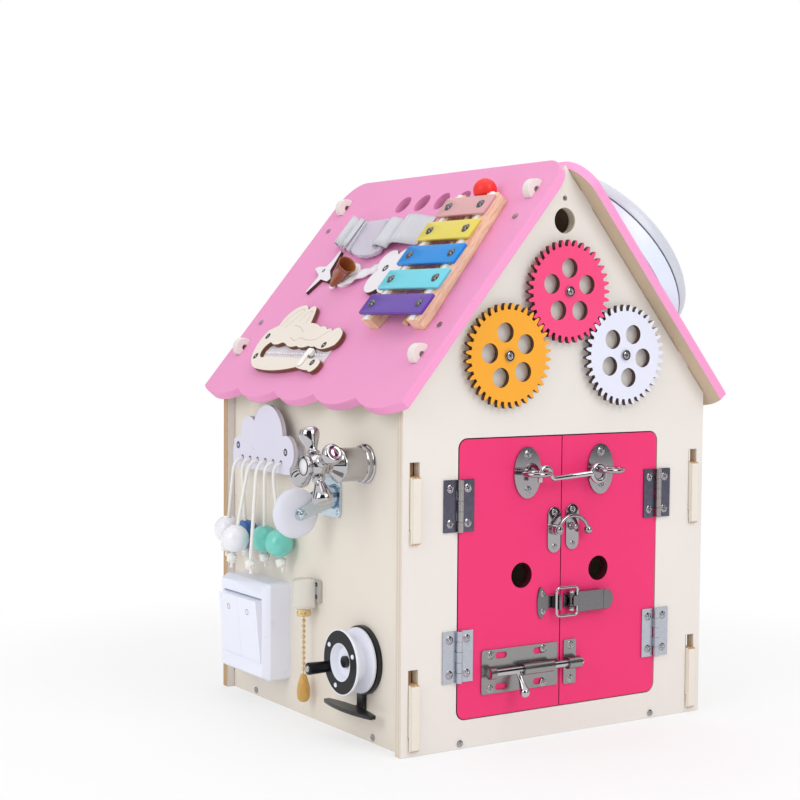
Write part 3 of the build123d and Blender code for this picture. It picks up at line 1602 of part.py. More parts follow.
lens_low = light_base + light_groove
lens_high = lens_low + light_rim
lens_top = lens_high + light_crown
LIGHT_SECTION = Plane(origin=LIGHT.origin, x_dir=LIGHT.x_dir, z_dir=-LIGHT.y_dir)
with BuildPart() as light_lens:
    with BuildSketch(LIGHT_SECTION) as lens_profile:
        with BuildLine():
            TangentArc((0, lens_top), (light_lens_radius, lens_high), tangent=(1, 0))
            Line((light_lens_radius, lens_high), (light_lens_radius, lens_low))
            Polyline((light_lens_radius, lens_low), (0, lens_low), (0, lens_top))
        make_face()
        fillet(lens_profile.vertices().group_by(Axis.X)[-1].sort_by(Axis.Y)[-1], light_round)
    revolve(axis=Axis(LIGHT.origin, LIGHT.z_dir))
with BuildPart() as dome_light:
    add(light_base_ring.part)
    add(light_lens.part)
pieces["dome_light"] = dome_light


for label, builder in pieces.items():
    builder.part.label = label
    export_step(builder.part, f"parts/{label}.step")
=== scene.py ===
# %% [markdown]
# # A wooden activity house
# The house is a plywood box with a pitched roof. Its faces carry doors with latches, gears, a xylophone and
# other toys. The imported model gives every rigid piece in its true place. This lesson dresses those pieces, makes
# the ones that need finer forms again as surfaces, and sets up a plain studio around them.

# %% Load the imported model
import json
import math

import bmesh
import bpy
import numpy as np
from mathutils import Matrix

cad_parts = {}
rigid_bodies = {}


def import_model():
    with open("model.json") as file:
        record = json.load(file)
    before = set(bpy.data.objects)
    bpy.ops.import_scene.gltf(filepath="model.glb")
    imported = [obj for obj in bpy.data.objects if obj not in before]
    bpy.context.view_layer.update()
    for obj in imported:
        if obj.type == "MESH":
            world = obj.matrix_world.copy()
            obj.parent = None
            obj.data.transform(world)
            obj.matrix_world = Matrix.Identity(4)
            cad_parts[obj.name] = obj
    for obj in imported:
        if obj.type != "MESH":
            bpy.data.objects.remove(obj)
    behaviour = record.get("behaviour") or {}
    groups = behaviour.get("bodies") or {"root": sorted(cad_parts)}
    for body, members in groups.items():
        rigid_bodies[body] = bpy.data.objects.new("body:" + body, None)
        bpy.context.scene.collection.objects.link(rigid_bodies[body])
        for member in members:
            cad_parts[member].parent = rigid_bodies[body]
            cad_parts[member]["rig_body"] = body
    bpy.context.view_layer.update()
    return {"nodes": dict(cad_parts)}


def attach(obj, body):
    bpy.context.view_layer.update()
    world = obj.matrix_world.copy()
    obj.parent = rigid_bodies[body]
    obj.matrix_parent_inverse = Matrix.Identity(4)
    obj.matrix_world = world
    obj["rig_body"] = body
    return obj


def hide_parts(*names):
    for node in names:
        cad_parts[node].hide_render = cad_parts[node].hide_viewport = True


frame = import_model()
nodes = frame["nodes"]
print("packed pieces:", len(nodes))


def link(name, data):
    """An object in the scene, at the world's origin."""
    piece = bpy.data.objects.new(name, data)
    bpy.context.scene.collection.objects.link(piece)
    return piece


def dress(piece, body, stands_for=()):
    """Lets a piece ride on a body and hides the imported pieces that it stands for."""
    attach(piece, body)
    if stands_for:
        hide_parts(*stands_for)



# %% [markdown]
# ## Camera
# A camera is a point, three directions and a lens. The directions come from a heading, a small downward tilt
# and a slight roll, so the code builds them with cross products instead of turning the camera by hand.

# %% Place the camera
HEADING, TILT, ROLL = math.radians(-32.971), math.radians(3.229), math.radians(0.427)
CAMERA_AT = (-0.811989, -1.165702, 0.328134)
FOCAL_PIXELS, FRAME_PIXELS, SENSOR_MM = 1648.073, 800, 36.0
CENTRE_SHIFT = (2.269, 12.561)

ahead = np.array([-math.sin(HEADING) * math.cos(TILT), math.cos(HEADING) * math.cos(TILT), -math.sin(TILT)])
level = np.array([math.cos(HEADING), math.sin(HEADING), 0.0])
above = np.cross(level, ahead)
right = math.cos(ROLL) * level + math.sin(ROLL) * above
up = -math.sin(ROLL) * level + math.cos(ROLL) * above

camera = link("camera", bpy.data.cameras.new("camera"))
camera.data.sensor_width = SENSOR_MM
camera.data.lens = FOCAL_PIXELS / FRAME_PIXELS * SENSOR_MM
camera.data.shift_x = -CENTRE_SHIFT[0] / FRAME_PIXELS
camera.data.shift_y = CENTRE_SHIFT[1] / FRAME_PIXELS
camera.data.clip_start, camera.data.clip_end = 0.01, 50.0
pose = np.eye(4)
pose[:3, 0], pose[:3, 1], pose[:3, 2], pose[:3, 3] = right, up, -ahead, CAMERA_AT
camera.matrix_world = Matrix(pose.tolist())
bpy.context.scene.camera = camera
print("lens", round(camera.data.lens, 2), "mm")

# %% [markdown]
# ## Places on the house
# Toys sit on the front, the left wall or a roof slope, so each of those faces gets its own two directions and
# an outward normal. `at` turns millimetres along them into a point in metres.

# %% Define the faces
HALF_DEPTH, WALL_X, RIDGE, SLOPE_DROP, HALF_WIDTH, SKIN = 146.0, 143.0, 450.0, 181.0, 150.0, 8.3
slope = math.atan2(SLOPE_DROP, HALF_WIDTH)
down_cos, down_sin = math.cos(slope), math.sin(slope)


class Face:
    """An origin in millimetres with directions u and v along a face and n out of it."""

    def __init__(self, origin, u, n):
        self.origin, self.u, self.n = (np.array(x, float) for x in (origin, u, n))
        self.v = np.cross(self.n, self.u)

    def at(self, u, v, out=0.0):
        """Points in metres, u and v along the face and out from it; each may be a number or an array."""
        u, v, out = np.broadcast_arrays(*(np.asarray(x, float) for x in (u, v, out)))
        return (self.origin + u[..., None] * self.u + v[..., None] * self.v + out[..., None] * self.n) / 1000


FRONT = Face((0, -HALF_DEPTH, 0), (1, 0, 0), (0, -1, 0))
BACK = Face((0, HALF_DEPTH, 0), (-1, 0, 0), (0, 1, 0))
LEFT = Face((-WALL_X, 0, 0), (0, -1, 0), (-1, 0, 0))
ROOF_L = Face(
    (-SKIN * down_sin, 0, RIDGE + SKIN * down_cos), (-down_cos, 0, -down_sin), (-down_sin, 0, down_cos)
)
ROOF_R = Face(
    (SKIN * down_sin, 0, RIDGE + SKIN * down_cos), (down_cos, 0, -down_sin), (down_sin, 0, down_cos)
)

# %% [markdown]
# ## Cords
# Six limp white cords hang out of the cloud's lower edge. A cord is a soft thing of a fixed length, so each is
# one smooth curve: out of its hole, round a short bend over the plate's face, and straight down to its knot.

# %% Draw the cords
CORD_MM, KNOT_MM, BEAD_MM = 3.0, 5.0, 11.8
CLOUD_FACE, STEP_OUT, HOLE_HEIGHT = 14.0, 8.0, 208.0
HOLES_U = (-96.1, -82.3, -68.8, -55.0, -41.3, -27.8)
BEAD_HANGS = (
    ("bead_1", 0, (-116.5, 17.8, 144.5)),
    ("bead_2", 2, (-75.0, 31.8, 142.0)),
    ("bead_3", 1, (-92.0, 13.0, 143.5)),
    ("bead_4", 4, (-57.5, 13.2, 142.5)),
    ("bead_5", 5, (-31.5, 13.2, 142.0)),
    ("loose", 3, (-48.0, 30.5, 140.0)),
)
STRAIGHT_FROM = 0.3  # the share of the way from the turn to the knot that the bend may use


def cord_points(hole, hang):
    """The hole, the turn above the plate's face, the end of the bend, the knot and the way down, in metres."""
    start = LEFT.at(HOLES_U[hole], HOLE_HEIGHT, CLOUD_FACE)
    turn = LEFT.at(HOLES_U[hole], HOLE_HEIGHT, CLOUD_FACE + STEP_OUT)
    middle = LEFT.at(hang[0], hang[2], hang[1])
    down = (middle - turn) / np.linalg.norm(middle - turn)
    knot = middle + down * (BEAD_MM + KNOT_MM) / 1000
    return start, turn, turn + STRAIGHT_FROM * (knot - turn), knot, down


cords = {}
for name, hole, hang in BEAD_HANGS:
    start, turn, bend, knot, down = cord_points(hole, hang)
    curve = bpy.data.curves.new("cord_" + name, "CURVE")
    curve.dimensions = "3D"
    curve.bevel_depth = CORD_MM / 2000
    curve.bevel_resolution = 5
    curve.resolution_u = 24
    curve.use_fill_caps = True
    spline = curve.splines.new("NURBS")
    route = [start, turn, bend, knot]
    spline.points.add(len(route) - 1)
    for point, place in zip(spline.points, route):
        point.co = (*place, 1.0)
    spline.order_u = 3
    spline.use_endpoint_u = True
    cords[name] = link("cord_" + name, curve)
print("cords:", len(cords))

# %% [markdown]
# ## Writing materials as sums
# A finish is arithmetic on a few patterns: a colour, plus a little mottling, times wear at the edges. `Wire`
# wraps one socket so that `outer - inner` or `noise * 0.1 + 0.4` can be written as they are read.

# %% Shader helpers
class Wire:
    """A number or colour inside one finish; arithmetic on it adds Math nodes."""

    def __init__(self, finish, socket):
        self.finish, self.socket = finish, socket

    def math(self, operation, *values):
        return self.finish.node("Math", {"operation": operation}, values)

    def __add__(self, other):
        return self.math("ADD", self, other)

    def __sub__(self, other):
        return self.math("SUBTRACT", self, other)

    def __mul__(self, other):
        return self.math("MULTIPLY", self, other)

    def wave(self, period):
        """A sine from 0 to 1 that repeats after a period."""
        return self.math("SINE", self * (math.tau / period)) * 0.5 + 0.5

    def above(self, edge, soft):
        """0 below the edge and 1 above it, with a soft step between."""
        return self.finish.node("MapRange", {"interpolation_type": "SMOOTHSTEP"}, [self, edge - soft, edge + soft])


class Finish:
    """A material with one Principled shader, or a world, and the one method that adds any other node."""

    def __init__(self, name, owner=None):
        self.material = owner or bpy.data.materials.new(name)
        self.material.use_nodes = True
        self.tree = self.material.node_tree
        self.shader = self.tree.nodes.get("Principled BSDF")

    def put(self, socket, value):
        if isinstance(value, Wire):
            self.tree.links.new(value.socket, socket)
        else:
            socket.default_value = value

    def node(self, kind, settings=None, values=(), out=0):
        """Adds a node: its settings first, then the values or links of its sockets by place or name."""
        made = self.tree.nodes.new("ShaderNode" + kind)
        for key, value in (settings or {}).items():
            setattr(made, key, value)
        for key, value in values.items() if isinstance(values, dict) else enumerate(values):
            self.put(made.inputs[key], value)
        return Wire(self, made.outputs[out])

    def set(self, **sockets):
        """Values or links for the shader's sockets, with _ for the spaces in their names."""
        for key, value in sockets.items():
            self.put(self.shader.inputs[key.replace("_", " ")], value)

    def colour(self):
        """What feeds the base colour so far."""
        return Wire(self, self.shader.inputs["Base Color"].links[0].from_socket)

    def noise(self, scale, detail=3.0, stretch=(1, 1, 1)):
        """Cloudy noise from 0 to 1 in the piece's own coordinates, stretched."""
        where = self.node("TexCoord", out="Object")
        where = self.node("Mapping", {"vector_type": "POINT"}, {"Vector": where, "Scale": stretch})
        return self.node("TexNoise", None, {"Vector": where, "Scale": scale, "Detail": detail})

    def mix(self, mask, first, second):
        """first where the mask is 0 and second where it is 1."""
        return self.node("Mix", {"data_type": "RGBA"}, {0: mask, 6: first, 7: second}, out=2)

    def bump(self, height, depth):
        """A bump from a height of 0 to 1 and its depth in metres."""
        self.set(Normal=self.node("Bump", None, {"Strength": 1.0, "Distance": depth, "Height": height}))

    def along(self, direction, source="Normal"):
        """How far the surface normal, or the piece's own coordinates, reach along a direction."""
        vector = self.node("TexCoord", out=source)
        return self.node("VectorMath", {"operation": "DOT_PRODUCT"}, [vector, direction], out="Value")

    def facing(self, direction):
        """1 on the faces that look along or against a direction of the piece and 0 on its edges."""
        return self.node("Math", {"operation": "ABSOLUTE"}, [self.along(direction)]).above(0.8, 0.06)

    def beyond(self, face, limit, soft=0.05):
        """1 on what stands further out of a face than a limit in millimetres."""
        start = float(face.origin @ face.n)
        return (self.along(tuple(face.n), "Object") * 1000 - start).above(limit, soft)

    def apart(self, point, limit, soft=0.2):
        """0 inside a ball about a point in metres and 1 outside it; its radius is in millimetres."""
        where = self.node("TexCoord", out="Object")
        distance = self.node("VectorMath", {"operation": "DISTANCE"}, [where, tuple(point)], out="Value")
        return (distance * 1000).above(limit, soft)


def paint(red, green, blue):
    """A linear colour from the usual 0 to 255 numbers."""
    share = np.array([red, green, blue]) / 255
    linear = np.where(share <= 0.04045, share / 12.92, ((share + 0.055) / 1.055) ** 2.4)
    return (*linear.tolist(), 1.0)


def shade(colour, factor):
    """The same colour, lighter or darker."""
    return (*(min(1.0, c * factor) for c in colour[:3]), 1.0)


# %% [markdown]
# ## Painted plywood
# The panels are laser-cut plywood under a thin, even coat of paint. The paint covers the faces; the cut edges
# stay brown, with the layers of the ply. The mask between them is the piece's own normal: faces look along one
# direction and edges don't, so no painting by hand is needed. A faint mottling and a very fine grain keep the
# flat colour from looking like plastic.

# %% Painted plywood
PLY_BROWN, PLY_DARK = paint(206, 176, 138), paint(164, 124, 84)
PLY_PAIR_MM = 3.2


def whole_tab(finish, face):
    """All sides of a tab are painted."""
    return 1.0


def tab_end(finish, face):
    """Only a tab's end, which looks the same way as the face that it comes through."""
    return finish.along(tuple(face.n)).above(0.8, 0.06)


def painted_ply(name, colour, across, edge_colour=PLY_BROWN, edge_dark=PLY_DARK, back=None, tabs=()):
    """Paint on the faces that look along `across`, layered wood on the edges, and painted tabs beyond other faces."""
    finish = Finish(name)
    cloud = finish.noise(14.0, 3.0)
    grain = finish.noise(90.0, 4.0, (1.0, 1.0, 0.12))
    face = finish.mix(cloud, shade(colour, 0.965), shade(colour, 1.02))
    face = finish.mix(grain * 0.10, face, shade(colour, 0.82))
    if back is not None:
        bare = finish.mix(grain, shade(back, 0.93), shade(back, 1.05))
        face = finish.mix(finish.along(across).above(0.0, 0.1), bare, face)
    depth = finish.along(across, "Object")
    layer = finish.node("Math", {"operation": "SINE"}, [depth * (math.tau * 1000 / PLY_PAIR_MM)]).above(0.1, 0.3)
    scorch = finish.noise(260.0, 4.0)
    wood = finish.mix(layer * 0.55 + scorch * 0.35, edge_colour, edge_dark)
    for other, limit, ends in tabs:
        wood = finish.mix(finish.beyond(other, limit, 0.1) * ends(finish, other), wood, shade(colour, 0.97))
    mask = finish.facing(across)
    finish.set(Base_Color=finish.mix(mask, wood, face))
    finish.set(Roughness=finish.noise(60.0, 2.0) * 0.06 + 0.47)
    finish.bump(finish.noise(700.0, 2.0) * 0.4 + grain * 0.6, 0.00004)
    finish.set(Specular_IOR_Level=0.4)
    return finish.material


def coated(name, colour, rough=0.3, mottle=0.012, peel=0.00004, coat=0.0, peel_scale=420.0, gloss=0.5):
    """An even glossy or matt coat of paint or moulded plastic with a light orange peel."""
    finish = Finish(name)
    cloud = finish.noise(22.0, 3.0)
    finish.set(Base_Color=finish.mix(cloud, shade(colour, 1 - mottle), shade(colour, 1 + mottle)))
    finish.set(Roughness=finish.noise(70.0, 3.0) * 0.03 + (rough - 0.015))
    finish.bump(finish.noise(peel_scale, 2.0), peel)
    finish.set(Coat_Weight=coat, Coat_Roughness=0.1, Specular_IOR_Level=gloss)
    return finish.material


def metal(name, colour, rough=0.3, stretch=(1, 1, 1), streak=0.12, scale=220.0, bump=0.00001):
    """Bare or plated metal: fine streaks change its roughness and, a little, its colour."""
    finish = Finish(name)
    lines = finish.noise(scale, 5.0, stretch)
    cloud = finish.noise(30.0, 2.0)
    finish.set(Base_Color=finish.mix(lines, shade(colour, 0.86), shade(colour, 1.08)), Metallic=1.0)
    finish.set(Roughness=lines * streak + cloud * 0.02 + (rough - streak / 2 - 0.01))
    finish.bump(lines, bump)
    return finish.material


CREAM = paint(232, 226, 220)
WALL_CREAM = paint(234, 226, 214)
ROOF_PINK = paint(232, 150, 196)
ROOF_EDGE = (paint(243, 158, 206), paint(240, 152, 200))
DOOR_ROSE = paint(238, 46, 114)
UNDER_TAN = paint(206, 186, 160)
BURNT, BURNT_DARK = paint(92, 52, 40), paint(48, 26, 20)
finishes = {
    "cream_y": painted_ply(
        "cream_ply_front", CREAM, (0, 1, 0), paint(226, 216, 202), paint(206, 192, 174),
        tabs=((ROOF_L, 0.3, whole_tab), (ROOF_R, 0.3, whole_tab)),
    ),
    "cream_back": painted_ply(
        "cream_ply_back", CREAM, (0, 1, 0), tabs=((ROOF_L, 0.3, whole_tab), (ROOF_R, 0.3, whole_tab))
    ),
    "cream_x": painted_ply("cream_ply_side", WALL_CREAM, (1, 0, 0), tabs=((FRONT, 0.2, tab_end), (BACK, 0.2, tab_end))),
    "cream_z": painted_ply("cream_ply_floor", shade(CREAM, 0.95), (0, 0, 1)),
    "roof_left": painted_ply("pink_roof_left", ROOF_PINK, tuple(ROOF_L.n), *ROOF_EDGE, back=UNDER_TAN),
    "roof_right": painted_ply("pink_roof_right", ROOF_PINK, tuple(ROOF_R.n), *ROOF_EDGE, back=UNDER_TAN),
    "door": painted_ply("rose_door", DOOR_ROSE, (0, 1, 0), paint(96, 22, 40), paint(56, 16, 24)),
    "gear_pink": painted_ply("gear_pink", paint(244, 72, 128), (0, 1, 0), paint(96, 56, 38), paint(50, 28, 20)),
    "gear_orange": painted_ply("gear_orange", paint(244, 168, 42), (0, 1, 0), paint(96, 60, 30), paint(50, 30, 16)),
    "gear_white": painted_ply("gear_white", paint(226, 228, 244), (0, 1, 0), paint(96, 64, 46), paint(50, 32, 24)),
    "white_x": painted_ply(
        "white_ply_side", paint(222, 220, 236), (1, 0, 0), paint(214, 210, 222), paint(196, 190, 200)
    ),
    "white_roof": painted_ply("white_ply_roof", paint(232, 228, 234), tuple(ROOF_L.n), BURNT, BURNT_DARK),
    "birch_roof": painted_ply(
        "birch_ply_roof", paint(232, 222, 212), tuple(ROOF_L.n), paint(134, 84, 56), paint(84, 52, 34)
    ),
    "steel": metal("steel", (0.33, 0.32, 0.32, 1), 0.26, (0.08, 1, 1)),
    "steel_dark": metal("dark_steel", (0.22, 0.21, 0.22, 1), 0.26, (0.08, 1, 1)),
    "plated": metal("plated_steel", (0.40, 0.38, 0.40, 1), 0.10, (1, 1, 1), 0.02, 60.0, 0.000004),
    "chrome": metal("chrome", (0.52, 0.51, 0.53, 1), 0.06, (1, 1, 1), 0.02, 60.0, 0.000002),
    "zinc": metal("zinc", (0.60, 0.70, 0.78, 1), 0.2),
    "brass": metal("brass", (0.83, 0.60, 0.28, 1), 0.24),
    "plastic_white": coated("white_plastic", paint(238, 241, 254), 0.28),
    "plastic_black": coated("black_plastic", paint(22, 22, 26), 0.35),
    "cord": coated("cord_weave", paint(240, 238, 234), 0.8),
    "bead_white": coated("bead_white", paint(240, 240, 246), 0.25, coat=0.5),
    "bead_blue": coated("bead_blue", paint(34, 98, 168), 0.25, coat=0.5),
    "bead_turquoise": coated("bead_turquoise", paint(112, 208, 194), 0.25, coat=0.5),
}

# %% [markdown]
# ## Softened copies
# A real panel or bracket never has a perfectly sharp edge, and light catches the small round. A copy of the
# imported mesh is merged, its flat faces are joined, and a Bevel modifier rounds only its sharp edges. The copy
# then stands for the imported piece.

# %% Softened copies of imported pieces
def softened(node, material, width, angle):
    """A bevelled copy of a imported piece, riding on the same body."""
    mesh = nodes[node].data.copy()
    work = bmesh.new()
    work.from_mesh(mesh)
    bmesh.ops.remove_doubles(work, verts=work.verts, dist=1e-6)
    bmesh.ops.dissolve_limit(work, angle_limit=math.radians(1.0), verts=work.verts, edges=work.edges)
    work.to_mesh(mesh)
    work.free()
    mesh.materials.clear()
    mesh.materials.append(material)
    mesh.shade_smooth()
    piece = link(node + "_finished", mesh)
    if width:
        bevel = piece.modifiers.new("edge", "BEVEL")
        bevel.width, bevel.segments = width, 2
        bevel.limit_method, bevel.angle_limit = "ANGLE", math.radians(angle)
        piece.modifiers.new("even_shading", "WEIGHTED_NORMAL").keep_sharp = True
    else:
        mesh.set_sharp_from_angle(angle=math.radians(angle))
    dress(piece, nodes[node]["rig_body"], (node,))
    return piece


SOFTENED = (  # finish, slot, edge in millimetres and nodes; a finish that needs its own cell comes later
    ("cream_y", "ply_cream", 0.6, "front_panel"),
    ("cream_back", "ply_cream", 0.6, "back_panel"),
    ("cream_x", "ply_cream", 0.6, "left_wall right_wall"),
    ("cream_z", "ply_cream", 0.4, "floor_panel"),
    ("roof_left", "ply_pink", 0.8, "left_roof"),
    ("roof_right", "ply_pink", 0.8, "right_roof"),
    ("door", "door_rose", 0, "left_door right_door"),
    ("gear_pink", "gear_pink", 0, "gear_pink"),
    ("gear_orange", "gear_orange", 0, "gear_orange"),
    ("gear_white", "ply_white", 0, "gear_white"),
    ("plated", "steel", 0.3, "gear_axles"),
    ("white_x", "ply_white", 0, "cloud_plate"),
    ("white_roof", "ply_white", 0.3, "roof_cutouts"),
    ("birch_roof", "ply_cream", 0.3, "animal_plate"),
    ("steel", "steel", 0.3, "panel_screws"),
    (None, "steel", 0.2, "frame_hinges left_door_leaves right_door_leaves"),
    ("plated", "steel_dark", 0.3, "left_eye_plate right_eye_plate"),
    ("chrome", "steel", 0, "cabin_hook"),
    ("plated", "steel_dark", 0, "swing_latch_arm"),
    ("steel_dark", "steel_dark", 0.2, "toggle_base toggle_lever"),
    ("chrome", "steel_dark", 0, "toggle_bail"),
    ("steel", "steel", 0.2, "bolt_plate bolt_keeper"),
    ("chrome", "steel", 0, "bolt_rod"),
    ("bead_white", "bead_white", 0, "bead_1 bead_2"),
    ("bead_blue", "bead_blue", 0, "bead_3"),
    ("bead_turquoise", "bead_turquoise", 0, "bead_4 bead_5"),
    ("zinc", "zinc", 0.2, "caster_plate caster_fork"),
    ("plastic_white", "white_plastic", 0, "switch_box"),
    ("plastic_white", "white_plastic", 0.5, "rocker_rear rocker_front"),
    (None, "clear_plastic", 0.3, "pull_switch"),
    (None, "brass", 0, "pull_chain"),
    ("plastic_black", "black_plastic", 0.3, "reel_frame"),
    (None, "white_plastic", 0.3, "reel_spool"),
    (None, "bare_wood", 0.5, "xylophone_rails"),
    (None, "ball_red", 0, "mallet"),
    ("cord", "cord_white", 0.2, "zip_slider"),
)
SHARP_AT = {"cloud_plate": 8}  # degrees, where the usual angle would shade a flat face
made = {}
for finish, slot, width, group in SOFTENED:
    for node in group.split():
        made[node] = softened(node, finishes.get(finish), width / 1000, SHARP_AT.get(node, 32))
print("softened pieces:", len(made))


def wear(material, *names):
    """Puts a material on finished copies."""
    for name in names:
        made[name].data.materials[0] = material

# %% [markdown]
# ## Cords, knots and beads
# Each cord ends in a tied knot that keeps its bead on. Its length is that of its own bend and straight part.

# %% Finish the cords
def curve_length(points, steps=400):
    """The length of the quadratic curve that starts and ends at the outer two of three points."""
    t = np.linspace(0, 1, steps)[:, None]
    line = (1 - t) ** 2 * points[0] + 2 * t * (1 - t) * points[1] + t**2 * points[2]
    return float(np.linalg.norm(np.diff(line, axis=0), axis=1).sum())


def smooth_mesh(corners, faces):
    """A smooth mesh: corners that fall together are merged, and every face looks outward."""
    mesh = bpy.data.meshes.new("mesh")
    mesh.from_pydata(corners.tolist(), [], faces)
    work = bmesh.new()
    work.from_mesh(mesh)
    bmesh.ops.remove_doubles(work, verts=work.verts, dist=1e-7)
    bmesh.ops.recalc_face_normals(work, faces=work.faces)
    work.to_mesh(mesh)
    work.free()
    mesh.shade_smooth()
    return mesh


def grid_mesh(grid, close_u=False, close_v=False):
    """A mesh from grid[i, j] corner points; neighbours make quads, and rows or columns may close on themselves."""
    rows, columns = grid.shape[:2]
    i, j = np.meshgrid(
        np.arange(rows if close_u else rows - 1), np.arange(columns if close_v else columns - 1), indexing="ij"
    )
    i, j = i.ravel(), j.ravel()
    nxt_i, nxt_j = (i + 1) % rows, (j + 1) % columns
    quads = np.stack([i * columns + j, nxt_i * columns + j, nxt_i * columns + nxt_j, i * columns + nxt_j], axis=1)
    return smooth_mesh(grid.reshape(-1, 3), quads.tolist())


def across(direction):
    """Two unit directions square to one another and to a direction."""
    direction = np.asarray(direction, float) / np.linalg.norm(direction)
    side = np.cross(direction, (0, 0, 1) if abs(direction[2]) < 0.9 else (1, 0, 0))
    side /= np.linalg.norm(side)
    return side, np.cross(direction, side)


def turned(origin, axis, profile, steps=48):
    """Points of a surface of revolution: profile holds (radius, height along the axis) in millimetres."""
    axis = np.asarray(axis, float) / np.linalg.norm(axis)
    first, second = across(axis)
    angle = np.linspace(0, math.tau, steps, endpoint=False)
    ring = np.cos(angle)[:, None] * first + np.sin(angle)[:, None] * second
    profile = np.asarray(profile, float) / 1000
    return np.asarray(origin, float) + profile[:, None, 0:1] * ring[None] + profile[:, None, 1:2] * axis


def lathe(origin, axis, profile, steps=48, ring=False):
    """A mesh turned from (radius, height) corners in millimetres; in a ring the last corner joins the first."""
    return grid_mesh(turned(origin, axis, profile, steps), close_u=ring, close_v=True)


def piece_of(name, meshes, material, body="house", stands_for=()):
    """One object from one or more meshes, riding on a body."""
    if not isinstance(meshes, (list, tuple)):
        meshes = [meshes]
    work = bmesh.new()
    for mesh in meshes:
        work.from_mesh(mesh)
    joined = bpy.data.meshes.new(name)
    work.to_mesh(joined)
    work.free()
    for mesh in meshes:
        bpy.data.meshes.remove(mesh)
    joined.shade_smooth()
    joined.materials.append(material)
    piece = link(name, joined)
    dress(piece, body, stands_for)
    return piece


def knot_mesh(place, down):
    """A lumpy ball: a sphere whose radius swells and sinks along two turns of cord."""
    u, v = np.meshgrid(np.linspace(0, math.pi, 25), np.linspace(0, math.tau, 32, endpoint=False), indexing="ij")
    lump = 1 + 0.13 * np.sin(2 * v + 5 * u) * np.sin(u)
    first, second = across(down)
    radius = KNOT_MM / 1000 * 0.92 * lump
    grid = place + radius[..., None] * (
        np.sin(u)[..., None] * (np.cos(v)[..., None] * first + np.sin(v)[..., None] * second)
        + np.cos(u)[..., None] * down
    )
    return grid_mesh(grid, close_v=True)


def tail_mesh(place, down):
    """The cut end of the cord under its knot: a short frayed cylinder that leans to one side."""
    tail = ((0, 0), (1.3, 0), (1.2, 5.5), (1.7, 7.6), (1.2, 8.1), (0, 7.9))
    return lathe(place, down + 0.35 * across(down)[0], tail, 20)


for name, hole, hang in BEAD_HANGS:
    piece = cords[name]
    piece.data.materials.append(finishes["cord"])
    dress(piece, "house", ("bead_cords",))
    start, turn, bend, knot_at, down = cord_points(hole, hang)
    knot = [knot_mesh(knot_at, down), tail_mesh(knot_at, down)]
    knot = piece_of("knot_" + name, knot, finishes["cord"])
    straight = (turn + bend) / 2
    length = curve_length([start, turn, straight]) + float(np.linalg.norm(knot_at - straight))
    print("cord", name, round(length * 1000), "mm")

# %% [markdown]
# ## Screws
# Every plate is held by cross-head screws. One head is a low dome over a disc of rings and spokes; where the
# cross is, the same surface is pushed down. The heads of each group are joined into one piece.

# %% Cross-head screws
def screw_head(face, u, v, out, radius, dome, cross=0.55, turn=20.0, sink=0.45):
    """A dome, height = dome * (1 - r^2), pressed down by `sink` of the radius inside a cross, closed below."""
    ring = np.array([0.0, 0.14, 0.28, 0.42, cross, cross + 0.12, 0.85, 0.96, 1.0, 1.0, 0.0])
    angle = np.linspace(0, math.tau, 32, endpoint=False)
    r, a = np.meshgrid(ring, angle, indexing="ij")
    x, y = r * np.cos(a), r * np.sin(a)
    height = dome * (1 - r**2)
    slot = (np.minimum(abs(x), abs(y)) < 0.13) & (r <= cross)
    height = np.where(slot, height - sink * radius * (1 - 0.6 * r / cross), height)
    height[-2:] = -0.3
    spin = math.radians(turn)
    across_u = radius * (x * math.cos(spin) - y * math.sin(spin))
    across_v = radius * (x * math.sin(spin) + y * math.cos(spin))
    return grid_mesh(face.at(u + across_u, v + across_v, out + height), close_v=True)


def heads(places, out, radius, dome, face=FRONT):
    """The same screw head at several places (u, v) of a face."""
    return [(face, u, v, out, radius, dome) for u, v in places]


def screws(name, all_heads, material, body):
    """One piece from a list of (face, u, v, out, radius, dome); each cross is turned a little further."""
    meshes = [screw_head(*head, turn=17.0 + 31.0 * index) for index, head in enumerate(all_heads)]
    return piece_of(name, meshes, material, body)


PLATED, BLACK_SCREW = finishes["plated"], metal("blackened_screw", (0.09, 0.09, 0.10, 1), 0.35)
PLATE_OUT, EYE_OUT = 1.25, 1.55
HINGE_HEIGHTS, LEAF_STEP, FRAME_LEAF_X, DOOR_LEAF_X = (72, 187.5), 13.3, 107.1, 91.1
EYE_HEIGHT, EYE_STEP = 210, 14
leaf_heights = [middle + step for middle in HINGE_HEIGHTS for step in (-LEAF_STEP, LEAF_STEP)]
DOOR_HEADS = {  # the eye plate's x, then places, radius and dome of the other plates' screws
    "left": (-1, -34.5, (
        (((-7.5, 177.5), (-7.5, 149.8)), 2.9, 0.7), (((-17.8, 113.5), (-17.8, 99.5)), 2.5, 0.6),
        (((-68.4, 69.9), (-68.4, 43.4), (-17, 70), (-17, 43)), 3.2, 0.8),
    )),
    "right": (1, 38.7, ((((10.7, 178.9), (10.7, 151)), 2.9, 0.7), (((10.1, 70.3), (10.1, 43.2)), 3.2, 0.8))),
}
for which, (side, eye_x, plates) in DOOR_HEADS.items():
    frame_heads, door_heads = (
        heads([(side * x, z) for z in leaf_heights], PLATE_OUT, 3.4, 0.8) for x in (FRAME_LEAF_X, DOOR_LEAF_X)
    )
    door_heads += heads([(eye_x, EYE_HEIGHT + step) for step in (-EYE_STEP, EYE_STEP)], EYE_OUT, 3.7, 0.9)
    for places, radius, dome in plates:
        door_heads += heads(places, PLATE_OUT, radius, dome)
    screws(f"hinge_screws_{which}", frame_heads, PLATED, "house")
    screws(f"{which}_door_screws", door_heads, PLATED, f"{which}_door")
